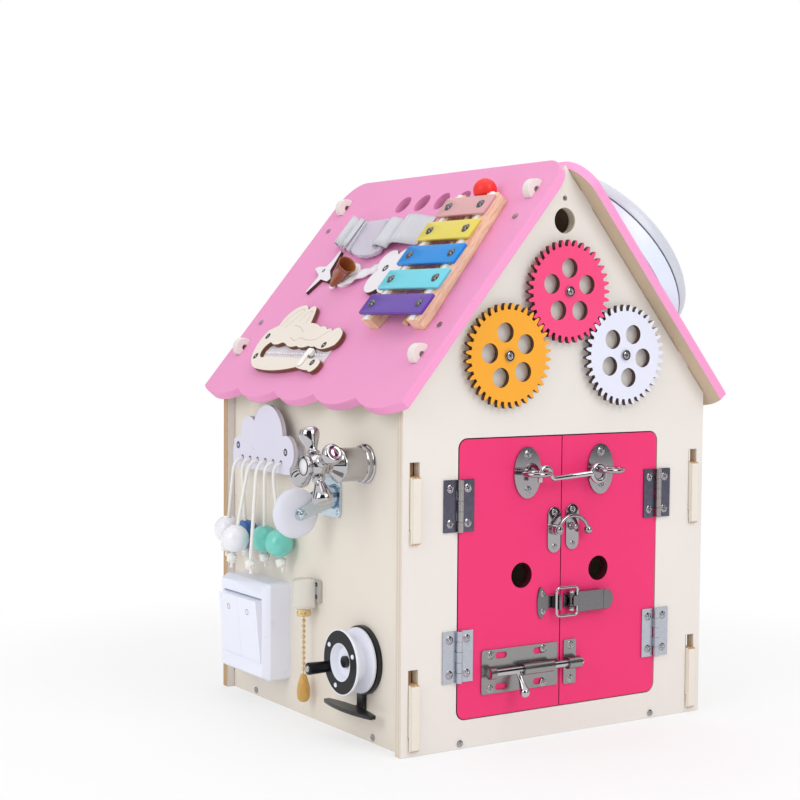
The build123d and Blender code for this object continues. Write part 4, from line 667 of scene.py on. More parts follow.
screws("gear_screws", heads(((0, 351), (-58, 301), (58, 301)), 8.6, 3, 0.7), PLATED, "house")
panel_heads = [head for face in (FRONT, BACK, LEFT) for head in heads(((-96, 4.5), (96, 4.5)), 0.9, 2.6, 0.5, face)]
screws("panel_heads", panel_heads, PLATED, "house")
cloud_heads = heads(((-104.3, 219), (-20.2, 218.3)), CLOUD_FACE, 3.2, 0.3, LEFT)
screws("cloud_screws", cloud_heads, BLACK_SCREW, "house")

# %% Cloud fill and burnt rims
fill = lathe(LEFT.at(-79, 218.3, 0), LEFT.n, ((0, 10), (3.4, 10), (3.4, 14.03), (0, 14.04)), 24)
fill = piece_of("cloud_fill", fill, finishes["white_x"])
fill.data.set_sharp_from_angle(angle=math.radians(30))
RIM_TURNS = ((1, 0.02), (2.1, 0.05), (2.1, 0), (1, 0))
rims = [lathe(LEFT.at(u, HOLE_HEIGHT + 1.1, CLOUD_FACE), LEFT.n, RIM_TURNS, 24, True) for u in HOLES_U]
piece_of("cord_hole_rims", rims, coated("burnt_rim", paint(74, 50, 50), 0.7))

# %% Hinge metal
HINGE = Finish("hinge_metal")
UPPER_FROM, KNUCKLE_FROM = 130.0, 1.5
upper = (HINGE.along((0, 0, 1), "Object") * 1000).above(UPPER_FROM, 5.0)
speck = HINGE.noise(260.0, 4.0)
pale = HINGE.mix(speck, (0.44, 0.47, 0.53, 1), (0.56, 0.59, 0.65, 1))
dark = HINGE.mix(speck, (0.09, 0.09, 0.13, 1), (0.20, 0.19, 0.25, 1))
knuckle = HINGE.beyond(FRONT, KNUCKLE_FROM, 0.15)
dark = HINGE.mix(knuckle, dark, (0.42, 0.40, 0.40, 1))
HINGE.set(Base_Color=HINGE.mix(upper, pale, dark), Metallic=1.0, Roughness=speck * 0.05 + 0.2)
wear(HINGE.material, "frame_hinges", "left_door_leaves", "right_door_leaves")

# %% [markdown]
# ## Slabs, bands and lines
# Most small pieces are a rounded plate, a band of cloth or a burnt line. A plate is one outline repeated at a
# few heights, each a little smaller near the top, so its edge is round. A band is a path along a face with a
# height, swept sideways by its width.

# %% Shape helpers
def outline(width, length, corner, steps=6):
    """A rounded rectangle about the origin: four quarter circles, one after another."""
    turn = np.linspace(0, math.pi / 2, steps)
    quarters = [
        (sx * (width / 2 - corner), sy * (length / 2 - corner), start)
        for sx, sy, start in ((1, 1, 0), (-1, 1, 1), (-1, -1, 2), (1, -1, 3))
    ]
    return np.concatenate([
        np.stack([x + corner * np.cos(turn + start * math.pi / 2), y + corner * np.sin(turn + start * math.pi / 2)], 1)
        for x, y, start in quarters
    ])


def slab(face, u, v, size, low, high, corner=1.0, edge=0.4, spin=0.0, steps=4):
    """A rounded plate on a face from one height to another, its upper edge a quarter circle."""
    fall = np.linspace(0, math.pi / 2, steps)
    insets = [edge * (1 - math.cos(a)) for a in fall]
    heights = [high - edge + edge * math.sin(a) for a in fall]
    insets, heights = [0.0, *insets], [low, *heights]
    rings = []
    for inset, height in zip(insets, heights):
        ring = outline(size[0] - 2 * inset, size[1] - 2 * inset, max(corner - inset, 0.05))
        rings.append((ring, height))
    rings = [(rings[0][0] * 0, low), *rings, (rings[-1][0] * 0, high)]
    c, s = math.cos(spin), math.sin(spin)
    grid = [face.at(u + r[:, 0] * c - r[:, 1] * s, v + r[:, 0] * s + r[:, 1] * c, h) for r, h in rings]
    return grid_mesh(np.array(grid), close_v=True)


def smooth_path(points, steps=12):
    """A Catmull-Rom curve through points of any dimension."""
    p = np.asarray(points, float)
    p = np.concatenate([[2 * p[0] - p[1]], p, [2 * p[-1] - p[-2]]])
    t = np.linspace(0, 1, steps, endpoint=False)[:, None, None]
    a, b, c, d = p[:-3], p[1:-2], p[2:-1], p[3:]
    spans = 0.5 * (2 * b + (c - a) * t + (2 * a - 5 * b + 4 * c - d) * t**2 + (3 * b - a - 3 * c + d) * t**3)
    return np.concatenate([spans.transpose(1, 0, 2).reshape(-1, p.shape[1]), p[-2:-1]])


def burnt_line(face, points, out, width):
    """A flat ribbon on a face along a smooth path: each point moves half a width to either side."""
    path = smooth_path(points)
    along = np.gradient(path, axis=0)
    along /= np.linalg.norm(along, axis=1)[:, None]
    side = np.stack([-along[:, 1], along[:, 0]], 1) * width / 2
    rails = np.stack([path + side, path - side], 1)
    return grid_mesh(face.at(rails[..., 0], rails[..., 1], out))


def cut_plate(face, points, low, high, smooth=0, edge=0.3):
    """A plate cut to a closed outline of (u, v), from one height to another, with a small chamfer on top."""
    ring = np.asarray(points, float)
    if smooth:
        ring = smooth_path([*points, points[0]], smooth)[:-1]
    if np.sum(ring[:, 0] * np.roll(ring[:, 1], -1) - ring[:, 1] * np.roll(ring[:, 0], -1)) < 0:
        ring = ring[::-1]
    after, before = np.roll(ring, -1, 0) - ring, ring - np.roll(ring, 1, 0)
    normal = after / np.linalg.norm(after, axis=1)[:, None] + before / np.linalg.norm(before, axis=1)[:, None]
    normal = np.stack([normal[:, 1], -normal[:, 0]], 1) / np.maximum(np.linalg.norm(normal, axis=1), 0.3)[:, None]
    rings = [(ring, low), (ring, high - edge), (ring - normal * edge, high)]
    count = len(ring)
    corners = np.concatenate([face.at(r[:, 0], r[:, 1], h) for r, h in rings])
    i = np.arange(count)
    sides = [np.stack([i, (i + 1) % count, (i + 1) % count + count, i + count], 1) + k * count for k in range(2)]
    caps = [list(range(count))[::-1], list(range(2 * count, 3 * count))]
    mesh = smooth_mesh(corners, np.concatenate(sides).tolist() + caps)
    mesh.set_sharp_from_angle(angle=math.radians(28))
    return mesh


# %% [markdown]
# ## Xylophone
# Five enamelled metal bars lie on two wooden rails, each held by two dome screws over a strip of white felt.
# The rails are pale wood with long grain, so the grain is noise stretched along the slope and cut by rings.

# %% Bars, rails and mallet
BAR_COLOURS = (paint(212, 160, 162), paint(222, 204, 84), paint(0, 132, 214), paint(108, 204, 220), paint(98, 64, 162))
BAR_LENGTHS, BAR_FIRST, BAR_PITCH, BAR_MIDDLE, BAR_OUT = (66.0, 72.0, 80.0, 85.0, 89.0), 59.5, 25.4, 88.4, 12.5
BAR_WIDTH, BAR_THICK, SCREW_INSET = 19.5, 2.5, 11.0


def wood(name, colour, dark, direction, ring_mm=3.0):
    """Bare wood: rings seen as long streaks along one direction, warped by slow noise."""
    finish = Finish(name)
    sides = [finish.along(tuple(side), "Object") for side in across(direction)]
    length = finish.along(direction, "Object") * 0.06
    where = finish.node("CombineXYZ", None, [length, *sides])
    warp = finish.node("TexNoise", None, {"Vector": where, "Scale": 60.0, "Detail": 4.0, "Distortion": 0.6})
    rings = warp.wave(ring_mm / 9)
    pores = finish.node("TexNoise", None, {"Vector": where, "Scale": 900.0, "Detail": 3.0})
    finish.set(Base_Color=finish.mix(rings * 0.55 + pores.above(0.58, 0.08) * 0.6, colour, dark))
    finish.set(Roughness=pores * 0.15 + 0.45)
    finish.bump(rings * 0.5 + pores * 0.5, 0.00005)
    return finish


for index, (colour, length) in enumerate(zip(BAR_COLOURS, BAR_LENGTHS)):
    enamel = coated(f"bar_enamel_{index + 1}", colour, 0.3, 0.01, 0.000006, coat=0.06, peel_scale=160.0, gloss=0.3)
    place = BAR_FIRST + index * BAR_PITCH
    bar = slab(ROOF_L, place, BAR_MIDDLE, (BAR_WIDTH, length), BAR_OUT, BAR_OUT + BAR_THICK, 1.4, 0.5)
    piece_of(f"bar_{index + 1}", bar, enamel, "house", ("xylophone_bars",))
bar_spots = [
    (BAR_FIRST + index * BAR_PITCH, BAR_MIDDLE + side * (length / 2 - SCREW_INSET))
    for index, length in enumerate(BAR_LENGTHS) for side in (-1, 1)
]
# Painted shadow: thin black discs under the bar screws darken the wood round each head, as a shadow would.
SHADOW_RING_TURNS = ((0, -0.2), (4.1, -0.2), (4.1, 0.12), (3.9, 0.2), (0, 0.2))
screw_shadow_rings = [lathe(ROOF_L.at(*spot, BAR_OUT + BAR_THICK), ROOF_L.n, SHADOW_RING_TURNS, 28) for spot in bar_spots]
piece_of("bar_screw_shadow_rings", screw_shadow_rings, BLACK_SCREW)
# A darkened copy of the chrome for the bar screws: painted shade in place of the dark surroundings that their domes
# would reflect.
SHADED_CHROME = metal("shaded_chrome", (0.15, 0.145, 0.15, 1), 0.1, (1, 1, 1), 0.02, 60.0, 0.000002)
screws("bar_screws", heads(bar_spots, BAR_OUT + BAR_THICK + 0.2, 3.4, 2.1, ROOF_L), SHADED_CHROME, "house")

RAIL_WOOD = wood("rail_wood", paint(242, 216, 182), paint(212, 170, 130), tuple(ROOF_L.u))
FELT_FROM = 11.55
RAIL_WOOD.set(Base_Color=RAIL_WOOD.mix(RAIL_WOOD.beyond(ROOF_L, FELT_FROM), RAIL_WOOD.colour(), paint(240, 238, 242)))
wear(RAIL_WOOD.material, "xylophone_rails")

MALLET_BALL, BALL_RADIUS = ROOF_L.at(39.0, 92.8, 9.9), 9.9
STICK = wood("mallet", paint(226, 190, 146), paint(196, 152, 106), tuple(ROOF_L.u))
stick_part = STICK.apart(MALLET_BALL, BALL_RADIUS)
STICK.set(Base_Color=STICK.mix(stick_part, paint(238, 30, 22), STICK.colour()), Coat_Weight=0.2)
wear(STICK.material, "mallet")
print("xylophone bars:", len(BAR_COLOURS))

# %% [markdown]
# ## Plates on the roof
# A small cloud, a toy plane and an animal with a zip for a mouth are laser cut. The laser burns the cut edges
# brown and draws thin dark lines on the face. The lines are ribbons a hair above the surface.

# %% Screws and burnt lines
BURNT_LINE = coated("burnt_line", paint(176, 148, 128), 0.7, 0.05)
cutout_heads = heads([(113.5, 13.0)], 4.0, 3.6, 0.4, ROOF_L) + heads([(112.5, -90.5)], 3.0, 2.0, 0.3, ROOF_L)
screws("cutout_screws", cutout_heads, BLACK_SCREW, "house")
PLANE_OUTLINE = (
    (89.0, -86.6), (95.0, -87.6), (101.5, -88.6), (107.6, -91.5), (107.2, -104.8), (110.0, -108.8), (117.2, -95.0),
    (119.5, -92.6), (136.6, -95.0), (138.4, -93.0), (123.0, -84.4), (125.6, -71.0), (122.0, -68.0), (112.6, -79.0),
    (104.8, -80.6), (91.0, -83.2),
)
plane_low, plane_high = (84.0, -112.0), (142.0, -62.0)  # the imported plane's corners leave this softened copy
work = bmesh.new()
work.from_mesh(made["roof_cutouts"].data)
places = np.array([v.co for v in work.verts]) * 1000 - ROOF_L.origin
s, t = places @ ROOF_L.u, places @ ROOF_L.v
inside = (s > plane_low[0]) & (s < plane_high[0]) & (t > plane_low[1]) & (t < plane_high[1])
work.verts.ensure_lookup_table()
bmesh.ops.delete(work, geom=[work.verts[i] for i in np.flatnonzero(inside)], context="VERTS")
work.to_mesh(made["roof_cutouts"].data)
work.free()
toy_plane = cut_plate(ROOF_L, PLANE_OUTLINE, 0.0, 3.0)
piece_of("toy_plane", toy_plane, finishes["white_roof"], stands_for=("roof_cutouts",))
animal_heads = heads(((189.0, -99.5), (211.0, -95.5), (196.5, 5.0), (215.0, 6.5)), 5.0, 3.2, 0.6, ROOF_L)
screws("animal_screws", animal_heads, BLACK_SCREW, "house")
ANIMAL_LINES = (
    ((178.0, -88.5), (167.0, -84.0), (159.5, -75.0), (160.0, -67.0), (168.0, -72.0), (179.0, -80.0)),
    ((172.0, -64.0), (162.5, -58.0), (160.5, -54.0), (166.0, -51.0), (174.0, -50.5)),
    ((176.5, -66.0), (178.5, -54.0), (183.0, -45.0), (184.0, -43.0)),
    ((190.0, -58.0), (193.0, -48.0), (190.0, -41.0), (192.0, -28.0), (191.0, -14.0), (184.0, -5.0), (181.0, -1.0)),
)
LINE_OUT, LINE_WIDTH = 5.04, 0.38
line_meshes = [burnt_line(ROOF_L, points, LINE_OUT, LINE_WIDTH) for points in ANIMAL_LINES]
piece_of("animal_lines", line_meshes, BURNT_LINE)

# %% [markdown]
# ## Strap, cone and ribbon
# The strap is grey webbing folded over both ends of a wide clear buckle. The cone is thin amber plastic, open at
# its upper end, and a white ribbon runs away from its white foot.

# %% Strap and buckle
PLEAT_MM = 4.6


def band(name, middle, path, width, finish, thickness, cross=5, ripple=0.0):
    """Cloth on the left roof along a path of (along, out, shift of its middle), `width` wide."""
    line = smooth_path([(*point, 0.0)[:3] for point in path], 8)
    line[:, 1] += ripple * np.sin(line[:, 0] * math.tau / PLEAT_MM) * np.hanning(len(line))
    step = np.linspace(-0.5, 0.5, cross)
    rows, columns = np.meshgrid(line[:, 0], step * width, indexing="ij")
    heights = np.repeat(line[:, 1:2], cross, 1)
    mesh = grid_mesh(ROOF_L.at(middle + columns + line[:, 2:], rows, heights))
    layer = mesh.uv_layers.new(name="weave")
    corners = np.empty(len(mesh.loops), int)
    mesh.loops.foreach_get("vertex_index", corners)
    length = np.concatenate([[0], np.cumsum(np.linalg.norm(np.diff(line, axis=0), axis=1))])
    flat = np.stack([np.repeat(length[:, None], cross, 1), np.repeat((step * width)[None], len(line), 0)], 2)
    layer.data.foreach_set("uv", (flat.reshape(-1, 2)[corners] / 1000).ravel().astype(np.float32))
    piece = piece_of(name, mesh, finish)
    wall = piece.modifiers.new("wall", "SOLIDIFY")
    wall.thickness, wall.offset = thickness / 1000, 0.0
    return piece


def woven(name, colour, dark, pitch_mm=1.1):
    """Webbing: ribs across the band and threads along it, from the cloth's own UV map in metres."""
    finish = Finish(name)
    where = finish.node("TexCoord", out="UV")
    split = finish.node("SeparateXYZ", None, {0: where}, out=0)
    other = Wire(finish, split.socket.node.outputs[1])
    rib, thread = split.wave(pitch_mm / 1000), other.wave(pitch_mm * 0.8 / 1000)
    cloud = finish.noise(40.0, 3.0)
    finish.set(Base_Color=finish.mix(rib * thread * 0.6 + cloud * 0.4, dark, colour))
    finish.set(Roughness=cloud * 0.1 + 0.7, Sheen_Weight=0.3)
    finish.bump(rib * 0.6 + thread * 0.4, 0.00015)
    return finish.material


WEBBING = woven("grey_webbing", paint(222, 222, 228), paint(190, 190, 198))
WHITE_CLOTH = woven("white_ribbon", paint(244, 240, 244), paint(226, 220, 228), 0.7)
STRAP_S, STRAP_WIDTH = 66.0, 31.0
rear = band(
    "strap_rear", STRAP_S,
    (
        (-103.0, 1.2), (-102.0, 4.5, 0.5), (-97.5, 7.6, 1.5), (-91.5, 7.0, 3.5), (-87.5, 3.6, 5.0), (-83.0, 2.4, 6.5),
        (-78.0, 4.8, 8.0), (-73.5, 7.6, 9.0), (-69.0, 7.8, 9.6), (-66.6, 5.4, 9.8),
    ),
    STRAP_WIDTH, WEBBING, 1.2, ripple=0.35,
)
band(
    "strap_rear_fold", STRAP_S,
    ((-83.0, 5.2, 6.5), (-79.0, 7.6, 7.6), (-74.5, 10.2, 8.8), (-70.5, 10.6, 9.4), (-67.8, 9.4, 9.8)),
    STRAP_WIDTH, WEBBING, 1.2,
)
front = band(
    "strap_front", STRAP_S,
    (
        (-26.0, 5.6, 10.0), (-25.0, 8.4, 10.0), (-20.0, 9.8, 9.8), (-14.0, 7.4, 9.4), (-9.5, 4.2, 9.0),
        (-5.0, 6.6, 8.6), (1.0, 9.2, 8.2), (8.0, 8.8, 7.4), (16.0, 6.0, 6.4), (24.0, 2.6, 5.4), (30.0, 1.2, 5.0),
    ),
    STRAP_WIDTH, WEBBING, 1.2, ripple=0.55,
)
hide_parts("strap")
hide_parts("strap")


def clear_finish(name, colour, rough, transmission, ior=1.47):
    """Clear moulded plastic; a little cloudiness and fine scratches live in its roughness."""
    finish = Finish(name)
    cloud = finish.noise(30.0, 3.0)
    finish.set(Base_Color=finish.mix(cloud, shade(colour, 0.985), colour))
    finish.set(Roughness=cloud * 0.08 + rough, Transmission_Weight=transmission, IOR=ior)
    return finish.material


BUCKLE_OUTLINE = (
    (59.0, -70.0), (58.0, -50.0), (58.5, -30.0), (68.0, -22.5), (82.0, -16.0), (94.0, -14.0), (99.0, -22.0),
    (100.5, -34.0), (98.5, -48.0), (94.0, -60.0), (86.0, -66.5), (72.0, -70.0),
)
CLEAR_PLASTIC = clear_finish("clear_buckle", paint(236, 232, 246), 0.12, 0.5)
buckle = [
    cut_plate(ROOF_L, BUCKLE_OUTLINE, 3.2, 6.6, 6, 0.8),
    slab(ROOF_L, 78.0, -66.0, (33.0, 3.4), 2.0, 8.6, 1.4, 0.6, 0.12),
    slab(ROOF_L, 77.0, -26.5, (33.0, 3.4), 2.0, 8.2, 1.4, 0.6, 0.3),
]
piece_of("buckle_plate", buckle, CLEAR_PLASTIC, stands_for=("buckle",))

# %% Cone, foot and ribbon
CONE_FOOT, CONE_MOUTH = ROOF_L.at(130.6, -56.5, 3.4), ROOF_L.at(117.4, -31.0, 14.4)
axis = (CONE_MOUTH - CONE_FOOT) / np.linalg.norm(CONE_MOUTH - CONE_FOOT)
tall = float(np.linalg.norm(CONE_MOUTH - CONE_FOOT)) * 1000
CONE_TURNS = (
    (0, 0), (1.9, 0.2), (2.5, 1.1), (4.2, 0.3 * tall), (6.1, 0.65 * tall), (8, tall), (8.3, tall + 0.2),
    (8.1, tall + 0.6), (7.5, tall + 0.4), (7.2, tall - 0.4), (5.2, 0.65 * tall), (3.2, 0.3 * tall), (1.3, 2.2), (0, 2),
)
cup = lathe(CONE_FOOT, axis, CONE_TURNS, 56)
AMBER = clear_finish("amber_plastic", paint(172, 100, 54), 0.12, 0.35)
piece_of("amber_cone", cup, AMBER, stands_for=("ribbon_cone",))
seat = [
    slab(ROOF_L, 118.0, -43.5, (26.0, 28.0), 0.0, 3.0, 12.8, 1.2),
    slab(ROOF_L, 130.6, -56.5, (6.0, 6.0), 0.0, 3.4, 2.9, 0.6),
]
piece_of("cone_foot", seat, coated("white_card", paint(240, 234, 238), 0.5), stands_for=("ribbon_cone",))
ribbon_path = (
    (-38.0, 3.7, 10.0), (-33.0, 4.2, 9.0), (-27.5, 3.0, 6.5), (-22.0, 4.6, 4.0), (-15.0, 2.4, 0.5), (-8.0, 3.0, -2.5),
    (-2.5, 0.9, -5.0),
)
ribbon = band("ribbon", 116.0, ribbon_path, 11.0, WHITE_CLOTH, 0.5, cross=4)
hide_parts("ribbon_cone")
print("cone height", round(tall, 1), "mm")

# %% Zip tapes
ZIP_WHITE = coated("zip_teeth", paint(240, 236, 240), 0.45)
ZIP_S, TEETH_FROM, TEETH, TOOTH_PITCH, TOOTH = 204.2, -89.0, 46, 2.2, (2.4, 1.3)
tapes = band(
    "zip_tapes_cloth", ZIP_S, ((-94.0, 0.5), (-60.0, 0.5), (-20.0, 0.5), (14.5, 0.5)), 18.0, WHITE_CLOTH,
    0.9,
)
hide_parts("zip_tapes")
teeth = [
    slab(ROOF_L, ZIP_S + (0.5 if i % 2 else -0.5), TEETH_FROM + TOOTH_PITCH * i, TOOTH, 0.9, 2.0, 0.3, 0.3, 0, 2)
    for i in range(TEETH)
]
piece_of("zip_teeth", teeth, ZIP_WHITE)

# %% [markdown]
# ## Tap
# The tap is polished chrome: a wide body with rings, and a cross handle with four pear-shaped arms and a white
# disc under a clear cap. Each part is a profile turned about its own axis.

# %% Tap body and handle
TAP_AT = (83.0, 216.5)
tap_root = LEFT.at(*TAP_AT, 0)
BODY_TURNS = (
    (0, 0), (15.6, 0), (15.6, 1.0), (15.0, 1.8), (13.9, 2.1), (13.9, 3.6), (14.3, 4.0), (14.3, 5.2), (13.7, 5.8),
    (13.2, 6.0), (13.2, 23.6), (13.7, 24.0), (13.7, 25.6), (12.9, 26.6), (12.2, 27.2), (9.6, 29.8), (8.0, 31.6),
    (6.5, 33.0), (6.5, 34.0), (7.4, 34.4), (7.4, 36.2), (6.5, 36.6), (6.5, 38.0), (3.5, 38.0), (3.5, 45.8), (0, 45.8),
)
tap = lathe(tap_root, LEFT.n, BODY_TURNS, 64)
tap.set_sharp_from_angle(angle=math.radians(40))
piece_of("tap_body_turned", tap, finishes["chrome"], stands_for=("tap_body",))

hub = LEFT.at(*TAP_AT, 44.5)
HUB_TURNS = (
    (0, 38.4), (7.4, 38.4), (8.4, 39.0), (8.4, 40.2), (9.4, 41.2), (9.9, 44.5), (9.4, 48.0), (8.0, 50.0), (7.6, 51.2),
    (8.5, 52.0), (8.6, 54.6), (8.2, 55.4), (7.0, 55.6), (0, 55.6),
)
ARM_TURNS = (
    (4.0, 7.5), (4.0, 9.4), (5.2, 10.0), (5.4, 10.9), (4.9, 11.6), (3.9, 12.2), (3.9, 13.4), (4.8, 16.0), (6.2, 19.0),
    (7.4, 22.4), (8.1, 25.2), (8.0, 27.6), (7.0, 29.6), (5.2, 30.5), (4.8, 30.2), (2.4, 30.6), (0, 30.8),
)
FIRST_ARM = 114.1  # degrees
handle = [lathe(tap_root, LEFT.n, HUB_TURNS)]
for quarter in range(4):
    turn = math.radians(FIRST_ARM + 90 * quarter)
    direction = math.cos(turn) * LEFT.u + math.sin(turn) * LEFT.v
    handle.append(lathe(hub, direction, ARM_TURNS, 40))
piece_of("tap_handle_turned", handle, finishes["chrome"], "tap_handle", ("tap_handle",))
disc = lathe(tap_root, LEFT.n, ((0, 55.7), (6.3, 55.7), (6.3, 55.4)), 40)
rim = lathe(tap_root, LEFT.n, ((6.3, 55.5), (6.3, 55.95), (6.9, 55.95), (6.9, 55.5)), 40)
piece_of("tap_disc", disc, coated("white_enamel", paint(236, 234, 240), 0.3), "tap_handle")
piece_of("tap_disc_rim", rim, finishes["plastic_black"], "tap_handle")

# %% [markdown]
# ## Caster
# The wheel is smooth milky plastic, a thick disc with rounded shoulders. Its zinc fork carries it between two
# flat cheeks, with a nut on the axle.

# %% Wheel and axle nut
WHEEL_OUT, WHEEL_HEIGHT, WHEEL_U = 33.0, 174.5, 31.4
wheel_at = LEFT.at(WHEEL_U, WHEEL_HEIGHT, WHEEL_OUT)
WHEEL_SIDE = ((2.5, 7.3), (5.0, 7.5), (9.0, 7.3), (13.0, 6.7), (16.0, 5.5), (18.3, 3.7), (19.7, 1.7), (20.0, 0.3))
half = np.concatenate([[(2.5, 0.0)], smooth_path(WHEEL_SIDE, 4)])
wheel = lathe(wheel_at, (0, 1, 0), np.concatenate([half, half[::-1] * (1, -1)]), 64)
MILKY = clear_finish("milky_wheel", paint(236, 238, 250), 0.2, 0.12, 1.4)
piece_of("caster_wheel_turned", wheel, MILKY, "caster_wheel", ("caster_wheel",))
NUT_TURNS = ((0, 9.1), (3.6, 9.1), (3.8, 9.5), (3.8, 11.4), (3.3, 12.0), (1.9, 12.0), (1.7, 12.6), (0, 12.7))
nuts = [lathe(wheel_at, (0, side, 0), NUT_TURNS, corners) for side, corners in ((-1, 6), (1, 24))]
piece_of("caster_nuts", nuts, finishes["zinc"], "caster_fork")
PLATE_HEIGHT, HOLE_STEP = 186.0, 12.0
corners = [(WHEEL_U + x, PLATE_HEIGHT + y) for x in (-HOLE_STEP, HOLE_STEP) for y in (-HOLE_STEP, HOLE_STEP)]
screws("caster_screws", heads(corners, 2.0, 2.4, 0.8, LEFT), finishes["zinc"], "house")

# %% [markdown]
# ## Switches
# The wall switch is glossy white plastic with a ring mark on each rocker. The pull switch is a clear housing
# with a ribbed brass collar, and its bead chain carries a turned wooden drop.

# %% Ring marks, collar, ear screws and drop
ROCKER_U, ROCKER_HEIGHT, ROCKER_OUT = -74.5, 67.5, 20.0
MARK_SIDE, MARK_ALONG, MARK_REACH, REST_TILT = 16.9, 15.0, 8.3, math.radians(5.3)
MARK = coated("mark_ink", paint(120, 122, 134), 0.5)
tilt_cos, tilt_sin = math.cos(REST_TILT), math.sin(REST_TILT)
mark_height = ROCKER_HEIGHT + MARK_ALONG * tilt_cos - MARK_REACH * tilt_sin
mark_out = ROCKER_OUT + MARK_REACH * tilt_cos + MARK_ALONG * tilt_sin
for side, body in ((-1, "rocker_rear"), (1, "rocker_front")):
    place = LEFT.at(ROCKER_U + side * MARK_SIDE, mark_height, mark_out)
    facing_out = tilt_cos * LEFT.n - tilt_sin * LEFT.v
    ring = lathe(place, facing_out, ((2.0, 0.0), (2.0, 0.12), (2.45, 0.12), (2.45, 0.0)), 28, True)
    piece_of(f"{body}_mark", ring, MARK, body)

PULL_U, PULL_OUT = 4.5, 10.0
wear(clear_finish("clear_housing", paint(252, 249, 242), 0.08, 0.5), "pull_switch")
collar_at = LEFT.at(PULL_U, 0.0, PULL_OUT)
COLLAR_TURNS = (
    (2.4, 86.4), (5.4, 86.4), (5.8, 87), (5.8, 89.6), (5.4, 90.2), (5.4, 91), (5.8, 91.4), (5.8, 93.3), (2.4, 93.3)
)
collar = turned(collar_at, (0, 0, 1), COLLAR_TURNS, 120)
middle = np.array([collar_at[0], collar_at[1], 0])
ribbed = (collar - middle) * np.where(np.arange(120) % 4 < 2, 1.0, 0.965)[None, :, None]
collar = np.concatenate([middle[:2] + ribbed[..., :2], collar[..., 2:]], 2)
piece_of("pull_collar", grid_mesh(collar, True, True), finishes["brass"])
ear_heads = heads(((12.5, 112.5), (12.5, 102.5)), 3.0, 2.0, 0.4, LEFT)
screws("pull_screws", ear_heads, BLACK_SCREW, "house")

DROP = wood("drop_wood", paint(216, 174, 92), paint(192, 144, 64), (0, 0, 1))
CHAIN_FROM = 38.4
chain_part = (DROP.along((0, 0, 1), "Object") * 1000).above(CHAIN_FROM, 0.1)
DROP.set(Base_Color=DROP.mix(chain_part, DROP.colour(), (0.72, 0.52, 0.26, 1)), Metallic=chain_part, Coat_Weight=0.3)
DROP.set(Roughness=chain_part * -0.15 + 0.4)
wear(DROP.material, "pull_chain")

# %% [markdown]
# ## Reel
# The reel's white spool has a black ring printed on its face, with three white studs, and turns on a black
# frame. The black knob ends in a small steel cap.

# %% Spool finish, studs and cap
REEL_AT, FACE_OUT, RING_INNER, RING_OUTER, STUD_RING = (82.6, 63.2), 22.0, 14.9, 24.7, 19.9
face_middle = LEFT.at(*REEL_AT, FACE_OUT)
SPOOL = Finish("spool")
black = SPOOL.apart(face_middle, RING_INNER, 0.1) - SPOOL.apart(face_middle, RING_OUTER, 0.1)
black = black * SPOOL.beyond(LEFT, FACE_OUT - 0.3, 0.1)
black = black.math("MAXIMUM", black, SPOOL.beyond(LEFT, FACE_OUT + 0.2, 0.05))
SPOOL.set(Base_Color=SPOOL.mix(black, paint(236, 238, 248), paint(14, 14, 18)))
SPOOL.set(Roughness=SPOOL.noise(60.0) * 0.02 + 0.32, Specular_IOR_Level=0.22)
SPOOL.bump(SPOOL.noise(300.0, 2.0), 0.00002)
wear(SPOOL.material, "reel_spool")
STUD_TURNS = ((1.9, -0.2), (1.9, 0.3), (1.5, 0.75), (0.8, 1.0), (0, 1.05))
studs = []
for turn in np.radians((145.0, 22.0, 251.0)):
    u, v = REEL_AT[0] + STUD_RING * math.cos(turn), REEL_AT[1] + STUD_RING * math.sin(turn)
    studs.append(lathe(LEFT.at(u, v, FACE_OUT), LEFT.n, STUD_TURNS, 24))
piece_of("reel_studs", studs, finishes["plastic_white"], "reel_spool")
knob_end = LEFT.at(REEL_AT[0] - 19.2, REEL_AT[1] - 6.6, 40.0)
cap = lathe(knob_end, LEFT.n, ((2.6, -0.1), (2.6, 0.4), (2.0, 0.9), (1.0, 1.1), (0, 1.15)), 24)
piece_of("knob_cap", cap, finishes["chrome"], "reel_spool")

# %% [markdown]
# ## Dome light
# The round light has a pale blue-white base and a grey lens, with a thin groove between them that is painted dark as
# shade.

# %% Lens and painted gap shade
LAMP = Finish("lamp_plastic")
GAP_SHADE_FROM, LENS_FROM = 16.2, 17.45
lens = LAMP.beyond(ROOF_R, LENS_FROM, 0.08)
# Painted shade: the groove between base and lens is coloured dark grey, where it lies in shadow.
gap_shade = LAMP.beyond(ROOF_R, GAP_SHADE_FROM, 0.1) - lens
colour = LAMP.mix(lens, paint(224, 230, 246), paint(204, 206, 216))
colour = LAMP.mix(gap_shade, colour, paint(120, 118, 132))
LAMP.set(Base_Color=colour, Roughness=LAMP.noise(40.0) * 0.02 + 0.26)
LAMP.bump(LAMP.noise(200.0, 2.0), 0.00003)
LIGHT_S, LIGHT_T = 110.0, -76.5
LIGHT_TURNS = (
    (0, 0), (86, 0), (86, 15.2), (84.8, 16.5), (83.5, 16.5), (83.5, 17.5), (85.4, 17.5), (85.6, 18.0), (85.6, 24.0),
    (85.0, 26.4), (83.5, 28.2), (80.0, 30.0), (72.0, 32.2), (58, 34.4), (34, 36.4), (13, 37.2), (0, 37.3),
)
light = lathe(ROOF_R.at(LIGHT_S, LIGHT_T, 0), ROOF_R.n, LIGHT_TURNS, 128)
light = piece_of("round_light", light, LAMP.material, stands_for=("dome_light",))
light.data.set_sharp_from_angle(angle=math.radians(40))

# %% [markdown]
# ## Latches
# The swing latch sits on two plates with round ends, and the toggle latch is folded from sheet steel: a fan
# shaped catch, and a wide lever with a turned-down edge along each side.

